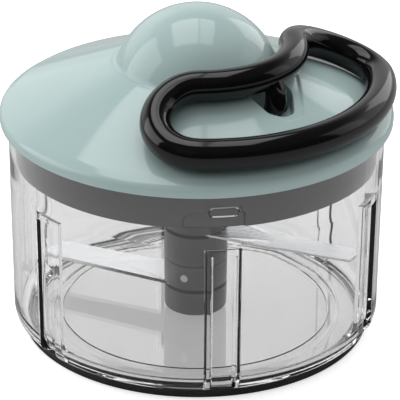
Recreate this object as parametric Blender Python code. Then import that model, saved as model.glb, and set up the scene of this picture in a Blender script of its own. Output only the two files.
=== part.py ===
"""A pull-cord food chopper: a clear fluted bowl, a two-bladed column that turns on the bowl's pin,
and a domed lid that holds a sprung cord reel, a one-way clutch and a kidney-shaped pull handle.

Metres, +Z up. The origin is on the table under the bowl's centre, the front is -Y, and +X is right.
Azimuths are measured about Z from the front towards the right.
"""

import math

import bmesh
import bpy
from mathutils import Matrix, Vector

for leftover in list(bpy.data.objects):
    bpy.data.objects.remove(leftover, do_unlink=True)

# Clearances
GAP = 0.0003
RUNNING_GAP = 0.0005
OVERRUN = 0.002
WELD = 0.000001

# Facets round a turned piece
BIG_STEPS = 56
MEDIUM_STEPS = 32
SMALL_STEPS = 16
TINY_STEPS = 12

# Bowl
BOWL_RADIUS = 0.0790
BOWL_FOOT_INSET = 0.0008
BOWL_WALL = 0.0028
BOWL_RIM_HEIGHT = 0.0956
BOWL_RIM_ROUND = 0.0004
BOWL_CORNER = 0.0053
FLOOR_UNDERSIDE = 0.0020
FLOOR_THICKNESS = 0.0026
FLOOR_STEP_INSET = 0.0190
FLOOR_STEP_HEIGHT = 0.0006
FLOOR_STEP_SLOPE = 0.0010
INNER_CORNER = 0.0060
FLUTE_COUNT = 6
FLUTE_DEPTH = 0.0024
FLUTE_WIDTH = 0.0144
FLUTE_MOUTH_WIDTH = 0.0096
FLUTE_MOUTH_DROP = 0.0022
FLUTE_SIDE = 0.0018
FLUTE_TOP_BELOW_RIM = 0.0274
FLUTE_TOP_SLOPE = 0.0022
FLUTE_AZIMUTH = 8.3
WALL_STEPS_PER_FLUTE = 6
LUG_COUNT = 3
LUG_BELOW_RIM = 0.0104
LUG_WIDTH = 0.0124
LUG_THICKNESS = 0.0039
LUG_REACH = 0.0013
LUG_STEPS = 6
BOSS_RADIUS = 0.0052
BOSS_HEIGHT = 0.0105
PIN_RADIUS = 0.0024
PIN_TOP = 0.0205
PIN_DEPTH = 0.0012
PIN_CHAMFER = 0.0006

# Non-slip ring under the bowl
RING_INSET = 0.0045
RING_WIDTH = 0.0055
RING_HEIGHT = 0.0034
RING_ROUND = 0.0006

# Blade column
COLUMN_TOP_BELOW_RIM = 0.0136
COLUMN_TOP_RADIUS = 0.0140
COLUMN_FOOT_RADIUS = 0.0134
COLUMN_FOOT = 0.0055
COLUMN_EDGE = 0.0010
SPINDLE_RADIUS = 0.0052
SPINDLE_TOP_BELOW_RIM = 0.0316
LOWER_BLADE_HEIGHT = 0.0165
UPPER_BLADE_HEIGHT = 0.0419
COLUMN_JOINT = 0.0287
BLADE_THICKNESS = 0.0010
BLADE_REACH_INSET = 0.0075
BLADE_ROOT_HALF_WIDTH = 0.0093
BLADE_TIP_HALF_WIDTH = 0.0069
BLADE_BEVEL = 0.0030
BLADE_TAIL = 0.0100
BLADE_TAIL_HALF_WIDTH = 0.0065
BLADE_TIP_STEPS = 6
LOWER_BLADE_BEARING = 156.5
UPPER_BLADE_BEARING = 337.4
RIVET_RADIUS = 0.0017
RIVET_HEIGHT = 0.0234
RIVET_AZIMUTH = -21.0
RIVET_PROUD = 0.0002
SOCKET_CORNER_RADIUS = 0.0054
SOCKET_DEPTH = 0.0140

# Lid cover
LID_OVERHANG = 0.0035
LID_EDGE_BELOW_RIM = 0.0017
LID_RIM_ABOVE_RIM = 0.0009
LID_WALL = 0.0024
LID_RIM_WALL = 0.0027
CROWN_TOP_OUT = 0.0002
CROWN_TOP_ABOVE_RIM = 0.0224
CROWN_FOOT_OVERHANG = 0.0014
CROWN_FOOT_ABOVE_RIM = 0.0042
DOME_RADIUS = 0.0358
DOME_CENTRE_ABOVE_RIM = 0.0106
DOME_STEPS = 6
DOME_FILLET = 0.0012
POST_BOSS_RADIUS = 0.0080
POST_BOSS_FOOT_ABOVE_RIM = 0.0224

# Lid plug, the grey skirt that fills the mouth of the bowl
PLUG_CLEARANCE = 0.0005
PLUG_WALL = 0.0024
PLUG_FOOT_BELOW_RIM = 0.0173
PLUG_FLANGE = 0.0015
PLUG_FLANGE_REACH_OVERHANG = 0.0003
DECK_UNDERSIDE_BELOW_RIM = 0.0111
DECK_THICKNESS = 0.0020
SLEEVE_RADIUS = 0.0150
SLEEVE_WALL = 0.0016
SLEEVE_FOOT_BELOW_RIM = 0.0151
GROOVE_DEPTH = 0.0016
GROOVE_START = -3.9
GROOVE_SHOULDER = -1.4
GROOVE_END = 14.6
GROOVE_BELOW_RIM = 0.0111
GROOVE_MARGIN = 0.0006
GROOVE_EASE_ANGLE = 0.4

# Screws through the deck into the cover
SCREW_COUNT = 4
SCREW_PITCH_INSET = 0.0170
SCREW_AZIMUTH = 24.0
SCREW_SHANK_RADIUS = 0.0015
SCREW_HEAD_RADIUS = 0.0030
SCREW_HEAD_HEIGHT = 0.0020
SCREW_LENGTH = 0.0130
SCREW_BOSS_RADIUS = 0.0040

# Recess for the handle stem, with the cord's way out
RECESS_AZIMUTH = 46.0
RECESS_TIP_DEPTH = 0.0031
RECESS_WALL = 0.0020
RECESS_BACK_OUT = 0.0006
RECESS_TIP_OUT = 0.0174
RECESS_HALF_WIDTH = 0.0082
RECESS_BACK_SHARE = 0.62
RECESS_SHOULDER_SHARE = 0.30
RECESS_NOSE_SHARE = 0.86
RECESS_NOSE_WIDTH_SHARE = 0.52
GUIDE_OUT = 0.0085
GUIDE_RADIUS = 0.0033
GUIDE_BORE = 0.0016
GUIDE_FLANGE_RADIUS = 0.0046
GUIDE_FLANGE = 0.0009
GUIDE_LIP = 0.0007

# Reel and its post
POST_RADIUS = 0.0042
POST_FOOT_ABOVE_RIM = 0.0034
POST_TOP_ABOVE_RIM = 0.0344
POST_SCREW_SHANK = 0.0018
POST_SCREW_LENGTH = 0.0130
POST_SCREW_HEAD_RADIUS = 0.0065
POST_SCREW_HEAD = 0.0020
DRUM_CLEARANCE = 0.0013
DRUM_WALL = 0.0020
DRUM_FOOT_BELOW_RIM = 0.0056
DRUM_TOP_ABOVE_RIM = 0.0137
WEB_ABOVE_RIM = 0.0034
WEB_THICKNESS = 0.0020
FLANGE_OVER_WINDING = 0.0025
FLANGE_THICKNESS = 0.0015
LOWER_FLANGE_BELOW_RIM = 0.0006
UPPER_FLANGE_ABOVE_RIM = 0.0089
WINDING_DEPTH = 0.0070
WINDING_ROUND = 0.0008
SPRING_THICKNESS = 0.0005
SPRING_TURNS = 5
SPRING_STEPS_PER_TURN = 14
SPRING_COVER_THICKNESS = 0.0014

# One-way clutch and drive shaft
RATCHET_RADIUS = 0.0120
RATCHET_ROOT = 0.0098
RATCHET_TEETH = 10
RATCHET_HEIGHT = 0.0045
RATCHET_FOOT_BELOW_RIM = 0.0056
PAWL_COUNT = 2
PAWL_PIVOT_OUT = 0.0055
PAWL_EYE_RADIUS = 0.0032
PAWL_NOSE_RADIUS = 0.0107
PAWL_NOSE_DEPTH = 0.0027
PAWL_NOSE_ANGLE = 55.0
PAWL_FACE_ANGLE = 1.7
PAWL_ARM_WIDTH = 0.0030
PAWL_PIN_RADIUS = 0.0015
PAWL_PIN_HEAD_RADIUS = 0.0026
PAWL_PIN_HEAD = 0.0008
PAWL_EYE_STEPS = 7
SHAFT_RADIUS = 0.0043
SHAFT_TOP_ABOVE_RIM = 0.0005
SHAFT_FOOT_BELOW_RIM = 0.0256
SHAFT_COLLAR_RADIUS = 0.0068
SHAFT_COLLAR = 0.0011
BUSH_FLANGE_RADIUS = 0.0092
BUSH_FLANGE = 0.0014
BUSH_RADIUS = 0.0070
CLIP_THICKNESS = 0.0008
CLIP_RADIUS = 0.0070

# Pull handle
HANDLE_AZIMUTH = 48.0
HANDLE_HALF_SPAN = 47.0
HANDLE_INNER_CLEARANCE = 0.0040
HANDLE_LEFT_INSET = 0.0042
HANDLE_RIGHT_INSET = 0.0016
OUTER_BAR_RADIUS = 0.0064
INNER_BAR_RADIUS = 0.0056
INNER_BAR_LIFT = 0.0012
OUTER_ARC_STEPS = 13
INNER_ARC_STEPS = 10
LOBE_STEPS = 9
BAR_SIDES = 12
STEM_OUT = 0.0086
STEM_TOP_RADIUS = 0.0034
STEM_FOOT_RADIUS = 0.0048
STEM_CLEARANCE = 0.0010
STEM_TOP_ABOVE_RECESS = 0.0137
STEM_ROUND = 0.0008
KNOT_OUT = 0.0074
KNOT_ABOVE_RECESS = 0.0088
KNOT_ELEVATION = 40.0
KNOT_RADIUS = 0.0024
KNOT_LENGTH = 0.0026
KNOT_CAP_RADIUS = 0.0027
KNOT_CAP_THICKNESS = 0.0020
KNOT_CAP_ROUND = 0.0004
CORD_RADIUS = 0.0010

# The cord's route from the winding through the guide: shares of the way right, back and up
CORD_ROUTE_SHARES = (
    (0.0, 0.0, 0.0),
    (0.288, 0.21, 0.0),
    (0.579, 0.5, 0.011),
    (0.812, 0.714, 0.057),
    (0.942, 0.857, 0.216),
    (0.990, 0.929, 0.455),
    (1.0, 1.0, 0.727),
    (1.0, 1.0, 1.0),
)
CORD_TANGENT_AZIMUTH = 2.0
CORD_TANGENT_OUT = 0.0013
CORD_TANGENT_LIFT = 0.0033
CORD_STEPS_PER_SPAN = 2

# The cord's last stretch, up the handle's stem to the knot
STEM_CORD_SHARES = (
    (0.0, 0.0, 0.0),
    (0.0, 0.0, 0.5),
    (0.0, 0.0, 1.0),
)
CORD_MOUTH = 0.0008
STEM_CORD_LENGTH = 0.0057

# Sizes that follow from those above
CROWN_TOP_RADIUS = DOME_RADIUS + CROWN_TOP_OUT
FLUTE_TOP = BOWL_RIM_HEIGHT - FLUTE_TOP_BELOW_RIM
LUG_HEIGHT = BOWL_RIM_HEIGHT - LUG_BELOW_RIM
SPINDLE_TOP = BOWL_RIM_HEIGHT - SPINDLE_TOP_BELOW_RIM
COLUMN_TOP = BOWL_RIM_HEIGHT - COLUMN_TOP_BELOW_RIM
LID_EDGE_HEIGHT = BOWL_RIM_HEIGHT - LID_EDGE_BELOW_RIM
LID_RIM_HEIGHT = BOWL_RIM_HEIGHT + LID_RIM_ABOVE_RIM
CROWN_TOP = BOWL_RIM_HEIGHT + CROWN_TOP_ABOVE_RIM
CROWN_FOOT = BOWL_RIM_HEIGHT + CROWN_FOOT_ABOVE_RIM
DOME_CENTRE = BOWL_RIM_HEIGHT + DOME_CENTRE_ABOVE_RIM
POST_BOSS_FOOT = BOWL_RIM_HEIGHT + POST_BOSS_FOOT_ABOVE_RIM
PLUG_FOOT = BOWL_RIM_HEIGHT - PLUG_FOOT_BELOW_RIM
DECK_UNDERSIDE = BOWL_RIM_HEIGHT - DECK_UNDERSIDE_BELOW_RIM
SLEEVE_FOOT = BOWL_RIM_HEIGHT - SLEEVE_FOOT_BELOW_RIM
GROOVE_HEIGHT = BOWL_RIM_HEIGHT - GROOVE_BELOW_RIM
POST_FOOT = BOWL_RIM_HEIGHT + POST_FOOT_ABOVE_RIM
POST_TOP = BOWL_RIM_HEIGHT + POST_TOP_ABOVE_RIM
DRUM_FOOT = BOWL_RIM_HEIGHT - DRUM_FOOT_BELOW_RIM
DRUM_TOP = BOWL_RIM_HEIGHT + DRUM_TOP_ABOVE_RIM
WEB_HEIGHT = BOWL_RIM_HEIGHT + WEB_ABOVE_RIM
LOWER_FLANGE_HEIGHT = BOWL_RIM_HEIGHT - LOWER_FLANGE_BELOW_RIM
UPPER_FLANGE_HEIGHT = BOWL_RIM_HEIGHT + UPPER_FLANGE_ABOVE_RIM
RATCHET_FOOT = BOWL_RIM_HEIGHT - RATCHET_FOOT_BELOW_RIM
SHAFT_TOP = BOWL_RIM_HEIGHT + SHAFT_TOP_ABOVE_RIM
SHAFT_FOOT = BOWL_RIM_HEIGHT - SHAFT_FOOT_BELOW_RIM
BOWL_FOOT_RADIUS = BOWL_RADIUS - BOWL_FOOT_INSET
FLOOR_STEP_RADIUS = BOWL_RADIUS - FLOOR_STEP_INSET
RING_RADIUS = BOWL_RADIUS - RING_INSET
BLADE_REACH = BOWL_RADIUS - BLADE_REACH_INSET
LID_RADIUS = BOWL_RADIUS + LID_OVERHANG
CROWN_FOOT_RADIUS = BOWL_RADIUS + CROWN_FOOT_OVERHANG
PLUG_FLANGE_REACH = BOWL_RADIUS + PLUG_FLANGE_REACH_OVERHANG
SCREW_PITCH_RADIUS = BOWL_RADIUS - SCREW_PITCH_INSET
HANDLE_LEFT_RADIUS = BOWL_RADIUS - HANDLE_LEFT_INSET
HANDLE_RIGHT_RADIUS = BOWL_RADIUS - HANDLE_RIGHT_INSET
BORE_CLEARANCE = GAP
FLOOR_TOP = FLOOR_UNDERSIDE + FLOOR_THICKNESS
FOOT_HEIGHT = RING_HEIGHT + GAP
PLUG_RADIUS = BOWL_RADIUS - BOWL_WALL - PLUG_CLEARANCE
PLUG_FLANGE_HEIGHT = BOWL_RIM_HEIGHT + GAP
DECK_TOP = DECK_UNDERSIDE + DECK_THICKNESS
LOWER_BLADE_TOP = LOWER_BLADE_HEIGHT + BLADE_THICKNESS
UPPER_BLADE_TOP = UPPER_BLADE_HEIGHT + BLADE_THICKNESS
COLUMN_BORE = SPINDLE_RADIUS + BORE_CLEARANCE
CROWN_SLOPE = (CROWN_TOP - CROWN_FOOT) / (CROWN_FOOT_RADIUS - CROWN_TOP_RADIUS)
HANDLE_INNER_RADIUS = CROWN_TOP_RADIUS + HANDLE_INNER_CLEARANCE
RECESS_BACK = CROWN_TOP_RADIUS + RECESS_BACK_OUT
RECESS_TIP = CROWN_TOP_RADIUS + RECESS_TIP_OUT
GUIDE_PITCH_RADIUS = CROWN_TOP_RADIUS + GUIDE_OUT
STEM_PITCH_RADIUS = CROWN_TOP_RADIUS + STEM_OUT
KNOT_PITCH_RADIUS = CROWN_TOP_RADIUS + KNOT_OUT
RECESS_FLOOR = CROWN_TOP - CROWN_SLOPE * RECESS_TIP_OUT - RECESS_TIP_DEPTH
STEM_TOP = RECESS_FLOOR + STEM_TOP_ABOVE_RECESS
KNOT_HEIGHT = RECESS_FLOOR + KNOT_ABOVE_RECESS
PAWL_PIVOT_RADIUS = RATCHET_RADIUS + PAWL_PIVOT_OUT
DRUM_RADIUS = PAWL_PIVOT_RADIUS + PAWL_EYE_RADIUS + DRUM_WALL + DRUM_CLEARANCE
WINDING_RADIUS = DRUM_RADIUS + WINDING_DEPTH
FLANGE_RADIUS = WINDING_RADIUS + FLANGE_OVER_WINDING
RATCHET_TOP = RATCHET_FOOT + RATCHET_HEIGHT


def around(azimuth, radius, height=0):
    """The point at this azimuth in degrees, counted from the front towards the right."""
    turn = math.radians(azimuth)
    return Vector((radius * math.sin(turn), -radius * math.cos(turn), height))


def polar(radius, bearing, height=0):
    """The point at this bearing in degrees, counted from +X towards +Y."""
    turn = math.radians(bearing)
    return Vector((radius * math.cos(turn), radius * math.sin(turn), height))


def crown_height(radius):
    """Height of the lid's outer surface on its conical crown."""
    return CROWN_TOP - CROWN_SLOPE * (radius - CROWN_TOP_RADIUS)


def column_radius(height):
    """Outer radius of the slightly tapered blade column."""
    share = (height - COLUMN_FOOT) / (COLUMN_TOP - COLUMN_FOOT)
    return COLUMN_FOOT_RADIUS + (COLUMN_TOP_RADIUS - COLUMN_FOOT_RADIUS) * share


def finish(name, colour, roughness, metallic=0.0, transmission=0.0):
    """A plain Principled material."""
    material = bpy.data.materials.new(name)
    material.use_nodes = True
    shader = material.node_tree.nodes["Principled BSDF"]
    shader.inputs["Base Color"].default_value = (*colour, 1.0)
    shader.inputs["Roughness"].default_value = roughness
    shader.inputs["Metallic"].default_value = metallic
    shader.inputs["Transmission Weight"].default_value = transmission
    return material


CLEAR_PLASTIC = finish("clear bowl plastic", (0.93, 0.94, 0.95), 0.04, transmission=0.95)
SAGE_PLASTIC = finish("sage green gloss plastic", (0.43, 0.55, 0.52), 0.18)
GREY_PLASTIC = finish("dark grey satin plastic", (0.085, 0.083, 0.083), 0.38)
BLACK_PLASTIC = finish("black gloss plastic", (0.012, 0.011, 0.012), 0.16)
SOFT_RUBBER = finish("black soft rubber", (0.022, 0.022, 0.024), 0.62)
WHITE_PLASTIC = finish("white acetal", (0.78, 0.77, 0.74), 0.35)
STAINLESS = finish("brushed stainless steel", (0.62, 0.62, 0.63), 0.24, metallic=1.0)
SPRING_STEEL = finish("blued spring steel", (0.16, 0.17, 0.20), 0.30, metallic=1.0)
ZINC_STEEL = finish("zinc plated steel", (0.55, 0.55, 0.53), 0.32, metallic=1.0)
CORD_FIBRE = finish("braided cord", (0.72, 0.72, 0.70), 0.85)


def add_node(name, shape, material, sharp_from=30.0):
    """Turns a bmesh into a named object with this material and smooth round faces."""
    bmesh.ops.remove_doubles(shape, verts=shape.verts, dist=WELD)
    bmesh.ops.recalc_face_normals(shape, faces=shape.faces)
    mesh = bpy.data.meshes.new(name)
    shape.to_mesh(mesh)
    shape.free()
    mesh.shade_smooth()
    mesh.set_sharp_from_angle(angle=math.radians(sharp_from))
    node = bpy.data.objects.new(name, mesh)
    bpy.context.scene.collection.objects.link(node)
    mesh.materials.append(material)
    return node


def hide_tool(tool):
    """Keeps a cutter or a joined blank out of the model itself."""
    tool.hide_render = True
    tool.display_type = "WIRE"


def shape_with(node, tool, operation):
    """Cuts or joins the tool with a Boolean, and hides the tool."""
    modifier = node.modifiers.new(operation.lower() + " " + tool.name, "BOOLEAN")
    modifier.operation = operation
    modifier.solver = "EXACT"
    modifier.object = tool
    hide_tool(tool)


def turned(outline, steps):
    """The closed outline of (radius, height) points, turned once about the Z axis."""
    shape = bmesh.new()
    corners = [shape.verts.new((radius, 0, height)) for radius, height in outline]
    edges = []
    for start, end in zip(corners, corners[1:] + corners[:1]):
        on_axis = start.co.x < WELD and end.co.x < WELD
        if not on_axis:
            edges.append(shape.edges.new((start, end)))
    bmesh.ops.spin(
        shape,
        geom=corners + edges,
        cent=(0, 0, 0),
        axis=(0, 0, 1),
        dvec=(0, 0, 0),
        angle=2 * math.pi,
        steps=steps,
        use_merge=True,
    )
    return shape


def rod(radius, bottom, top, steps):
    """A plain round bar on the Z axis."""
    return turned([(0, bottom), (radius, bottom), (radius, top), (0, top)], steps)


def tube(bore, radius, bottom, top, steps):
    """A plain round tube on the Z axis."""
    return turned([(bore, bottom), (radius, bottom), (radius, top), (bore, top)], steps)


def lofted(rings):
    """A closed skin over rings of equally many points, capped at both ends."""
    shape = bmesh.new()
    loops = [[shape.verts.new(point) for point in ring] for ring in rings]
    for lower, upper in zip(loops, loops[1:]):
        for index, corner in enumerate(lower):
            following = (index + 1) % len(lower)
            shape.faces.new((corner, lower[following], upper[following], upper[index]))
    shape.faces.new(loops[0][::-1])
    shape.faces.new(loops[-1])
    return shape


def slab(outline, bottom, top):
    """The outline of (x, y) points raised from one height to another."""
    return lofted([[(x, y, height) for x, y in outline] for height in (bottom, top)])


def wall_strip(stations, inner_radius, outer_radius):
    """A curved block that follows a round wall, from stations of (azimuth, bottom, top)."""
    rings = []
    for azimuth, bottom, top in stations:
        rings.append(
            [
                around(azimuth, inner_radius, bottom),
                around(azimuth, outer_radius, bottom),
                around(azimuth, outer_radius, top),
                around(azimuth, inner_radius, top),
            ]
        )
    return lofted(rings)


def copy_around(shape, count, first_turn=0.0):
    """Repeats the shape evenly about the Z axis inside one bmesh."""
    geometry = shape.verts[:] + shape.edges[:] + shape.faces[:]
    for index in range(1, count):
        made = bmesh.ops.duplicate(shape, geom=geometry)["geom"]
        points = [item for item in made if isinstance(item, bmesh.types.BMVert)]
        turn = Matrix.Rotation(2 * math.pi * index / count, 3, "Z")
        bmesh.ops.rotate(shape, verts=points, cent=(0, 0, 0), matrix=turn)
    turn = Matrix.Rotation(math.radians(first_turn), 3, "Z")
    bmesh.ops.rotate(shape, verts=shape.verts, cent=(0, 0, 0), matrix=turn)
    return shape


def flute_stations(width):
    """Azimuths round the bowl with the share of the depth of a flute this wide reached at each."""
    pitch = 360.0 / FLUTE_COUNT
    edge = math.degrees(width / 2 / BOWL_RADIUS)
    floor = edge - math.degrees(FLUTE_SIDE / BOWL_RADIUS)
    stations = []
    for index in range(FLUTE_COUNT):
        middle = FLUTE_AZIMUTH + index * pitch
        stations += [(middle - edge, 0.0), (middle - floor, 1.0), (middle, 1.0), (middle + floor, 1.0)]
        land = pitch - 2 * edge
        for step in range(WALL_STEPS_PER_FLUTE):
            stations.append((middle + edge + land * step / WALL_STEPS_PER_FLUTE, 0.0))
    return stations


def bowl_outlines():
    """Points of (radius, height, flute share): the outside from under the floor up to the rim,
    and the inside from the rim down to the boss's hole."""
    corner_middle = BOWL_CORNER * math.cos(math.radians(45))
    corner_height = FOOT_HEIGHT + BOWL_CORNER
    corner_radius = BOWL_FOOT_RADIUS - BOWL_CORNER
    flute_low = FLUTE_TOP - FLUTE_TOP_SLOPE
    mouth_top = FLUTE_TOP - FLUTE_MOUTH_DROP
    mouth_low = mouth_top - FLUTE_TOP_SLOPE
    inner_radius = BOWL_RADIUS - BOWL_WALL
    inner_foot = BOWL_FOOT_RADIUS - BOWL_WALL
    inner_corner_radius = inner_foot - INNER_CORNER
    land_top = FLOOR_TOP + FLOOR_STEP_HEIGHT
    inner_corner_height = land_top + INNER_CORNER
    inner_middle = INNER_CORNER * math.cos(math.radians(45))
    seat_radius = RING_RADIUS - RING_WIDTH - GAP

    def wall_at(height):
        share = (height - corner_height) / (BOWL_RIM_HEIGHT - corner_height)
        return BOWL_FOOT_RADIUS + (BOWL_RADIUS - BOWL_FOOT_RADIUS) * share

    outside = [
        (seat_radius, FLOOR_UNDERSIDE, 0.0),
        (seat_radius, FOOT_HEIGHT, 0.0),
        (corner_radius, FOOT_HEIGHT, 0.0),
        (corner_radius + corner_middle, corner_height - corner_middle, 1.0),
        (BOWL_FOOT_RADIUS, corner_height, 1.0),
        (wall_at(mouth_low), mouth_low, 1.0),
        (wall_at(mouth_top), mouth_top, 0.0),
        (BOWL_RADIUS, BOWL_RIM_HEIGHT - BOWL_RIM_ROUND, 0.0),
        (BOWL_RADIUS - BOWL_RIM_ROUND, BOWL_RIM_HEIGHT, 0.0),
    ]
    inside = [
        (inner_radius + BOWL_RIM_ROUND, BOWL_RIM_HEIGHT, 0.0),
        (inner_radius, BOWL_RIM_HEIGHT - BOWL_RIM_ROUND, 0.0),
        (wall_at(FLUTE_TOP) - BOWL_WALL, FLUTE_TOP, 0.0),
        (wall_at(flute_low) - BOWL_WALL, flute_low, 1.0),
        (inner_foot, inner_corner_height, 1.0),
        (inner_corner_radius + inner_middle, inner_corner_height - inner_middle, 0.7),
        (inner_corner_radius, land_top, 0.0),
        (FLOOR_STEP_RADIUS + FLOOR_STEP_SLOPE, land_top, 0.0),
        (FLOOR_STEP_RADIUS, FLOOR_TOP, 0.0),
        (BOSS_RADIUS, FLOOR_TOP, 0.0),
        (BOSS_RADIUS, BOSS_HEIGHT, 0.0),
        (PIN_RADIUS + GAP, BOSS_HEIGHT, 0.0),
        (PIN_RADIUS + GAP, FLOOR_TOP - PIN_DEPTH, 0.0),
    ]
    return outside, inside


def make_bowl():
    """The clear bowl: a shell whose wall is drawn in at six flutes, with lugs inside its mouth."""
    outside, inside = bowl_outlines()
    rings = []
    for outline, width in ((outside, FLUTE_MOUTH_WIDTH), (inside, FLUTE_WIDTH)):
        stations = flute_stations(width)
        for radius, height, share in outline:
            ring = []
            for azimuth, depth in stations:
                ring.append(around(azimuth, radius - FLUTE_DEPTH * share * depth, height))
            rings.append(ring)
    bowl = add_node("bowl", lofted(rings), CLEAR_PLASTIC, sharp_from=35.0)
    lug_azimuths = []
    half_angle = math.degrees(LUG_WIDTH / 2 / BOWL_RADIUS)
    for index in range(LUG_STEPS + 1):
        share = -1 + 2 * index / LUG_STEPS
        along = share * LUG_WIDTH / 2
        beyond = max(abs(along) - (LUG_WIDTH - LUG_THICKNESS) / 2, 0)
        half = math.sqrt(max((LUG_THICKNESS / 2) ** 2 - beyond**2, (LUG_THICKNESS / 6) ** 2))
        lug_azimuths.append((share * half_angle, LUG_HEIGHT - half, LUG_HEIGHT + half))
    inner = BOWL_RADIUS - BOWL_WALL - LUG_REACH
    lug_shape = wall_strip(lug_azimuths, inner, BOWL_RADIUS - BOWL_WALL / 2)
    lugs = add_node("lug_blanks", copy_around(lug_shape, LUG_COUNT, FLUTE_AZIMUTH), CLEAR_PLASTIC)
    shape_with(bowl, lugs, "UNION")


def make_base_ring():
    """The non-slip ring that the bowl stands on, held under its foot."""
    inner = RING_RADIUS - RING_WIDTH
    outline = [
        (inner, 0),
        (RING_RADIUS - RING_ROUND, 0),
        (RING_RADIUS, RING_ROUND),
        (RING_RADIUS, RING_HEIGHT - RING_ROUND),
        (RING_RADIUS - RING_ROUND, RING_HEIGHT),
        (inner, RING_HEIGHT),
    ]
    add_node("base_ring", turned(outline, BIG_STEPS), SOFT_RUBBER)


def make_pivot_pin():
    """The steel pin in the bowl's centre boss, which the blade column turns on."""
    foot = FLOOR_TOP - PIN_DEPTH + GAP
    outline = [
        (0, foot),
        (PIN_RADIUS, foot),
        (PIN_RADIUS, PIN_TOP - PIN_CHAMFER),
        (PIN_RADIUS - PIN_CHAMFER, PIN_TOP),
        (0, PIN_TOP),
    ]
    add_node("pivot_pin", turned(outline, SMALL_STEPS), STAINLESS)


def column_piece(name, bottom, top, foot_edge=0.0, top_edge=0.0):
    """One moulded length of the blade column, bored for the spindle."""
    outline = [
        (COLUMN_BORE, bottom),
        (column_radius(bottom) - foot_edge, bottom),
        (column_radius(bottom), bottom + foot_edge),
        (column_radius(top), top - top_edge),
        (column_radius(top) - top_edge, top),
        (COLUMN_BORE, top),
    ]
    return add_node(name, turned(outline, MEDIUM_STEPS), GREY_PLASTIC)


def blade_outline(bevel):
    """Plan of a blade along +X, its cutting edge on the +Y side drawn back by the bevel."""
    def half_width(along):
        return BLADE_ROOT_HALF_WIDTH + (BLADE_TIP_HALF_WIDTH - BLADE_ROOT_HALF_WIDTH) * along / BLADE_REACH

    corner = math.degrees(math.asin(BLADE_TIP_HALF_WIDTH / BLADE_REACH))
    points = [(-BLADE_TAIL, BLADE_TAIL_HALF_WIDTH), (-BLADE_TAIL, -BLADE_TAIL_HALF_WIDTH), (0, -half_width(0))]
    for step in range(BLADE_TIP_STEPS + 1):
        bearing = -corner + 2 * corner * step / BLADE_TIP_STEPS
        point = polar(BLADE_REACH, bearing)
        points.append((point.x, min(point.y, BLADE_TIP_HALF_WIDTH - bevel)))
    points.append((column_radius(COLUMN_FOOT), half_width(column_radius(COLUMN_FOOT)) - bevel))
    points.append((0, half_width(0)))
    return points


def make_blade(name, height, bearing):
    """A flat stainless blade, ground on top along its leading edge."""
    lower = [(x, y, height) for x, y in blade_outline(0.0)]
    upper = [(x, y, height + BLADE_THICKNESS) for x, y in blade_outline(BLADE_BEVEL)]
    blade = add_node(name, lofted([lower, upper]), STAINLESS, sharp_from=10.0)
    hole = rod(COLUMN_BORE, height - OVERRUN, height + BLADE_THICKNESS + OVERRUN, SMALL_STEPS)
    shape_with(blade, add_node(name + "_hole", hole, STAINLESS), "DIFFERENCE")
    blade.rotation_euler.z = math.radians(bearing)


def make_blade_column():
    """Four grey mouldings and two blades stacked on a steel spindle, with a cross rivet."""
    column_piece("column_foot", COLUMN_FOOT, LOWER_BLADE_HEIGHT - GAP, foot_edge=COLUMN_EDGE)
    make_blade("lower_blade", LOWER_BLADE_HEIGHT, LOWER_BLADE_BEARING)
    lower = column_piece("column_lower", LOWER_BLADE_TOP + GAP, COLUMN_JOINT)
    column_piece("column_middle", COLUMN_JOINT + GAP, UPPER_BLADE_HEIGHT - GAP)
    make_blade("upper_blade", UPPER_BLADE_HEIGHT, UPPER_BLADE_BEARING)
    upper = column_piece("column_upper", UPPER_BLADE_TOP + GAP, COLUMN_TOP, top_edge=COLUMN_EDGE)
    socket_outline = [polar(SOCKET_CORNER_RADIUS, 60 * index)[:2] for index in range(6)]
    socket = slab(socket_outline, COLUMN_TOP - SOCKET_DEPTH, COLUMN_TOP + OVERRUN)
    shape_with(upper, add_node("drive_socket", socket, GREY_PLASTIC), "DIFFERENCE")
    bore = PIN_RADIUS + GAP
    spindle = add_node(
        "blade_spindle",
        tube(bore, SPINDLE_RADIUS, BOSS_HEIGHT + GAP, SPINDLE_TOP, SMALL_STEPS),
        STAINLESS,
    )
    reach = column_radius(RIVET_HEIGHT) + RIVET_PROUD
    rivet = add_node("column_rivet", rod(RIVET_RADIUS, -reach, reach, TINY_STEPS), STAINLESS)
    hole = add_node(
        "rivet_hole",
        rod(RIVET_RADIUS + GAP, -reach - OVERRUN, reach + OVERRUN, TINY_STEPS),
        STAINLESS,
    )
    for piece in (rivet, hole):
        piece.location.z = RIVET_HEIGHT
        piece.rotation_euler = (math.radians(90), 0, math.radians(RIVET_AZIMUTH))
    shape_with(lower, hole, "DIFFERENCE")
    shape_with(spindle, hole, "DIFFERENCE")


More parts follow.
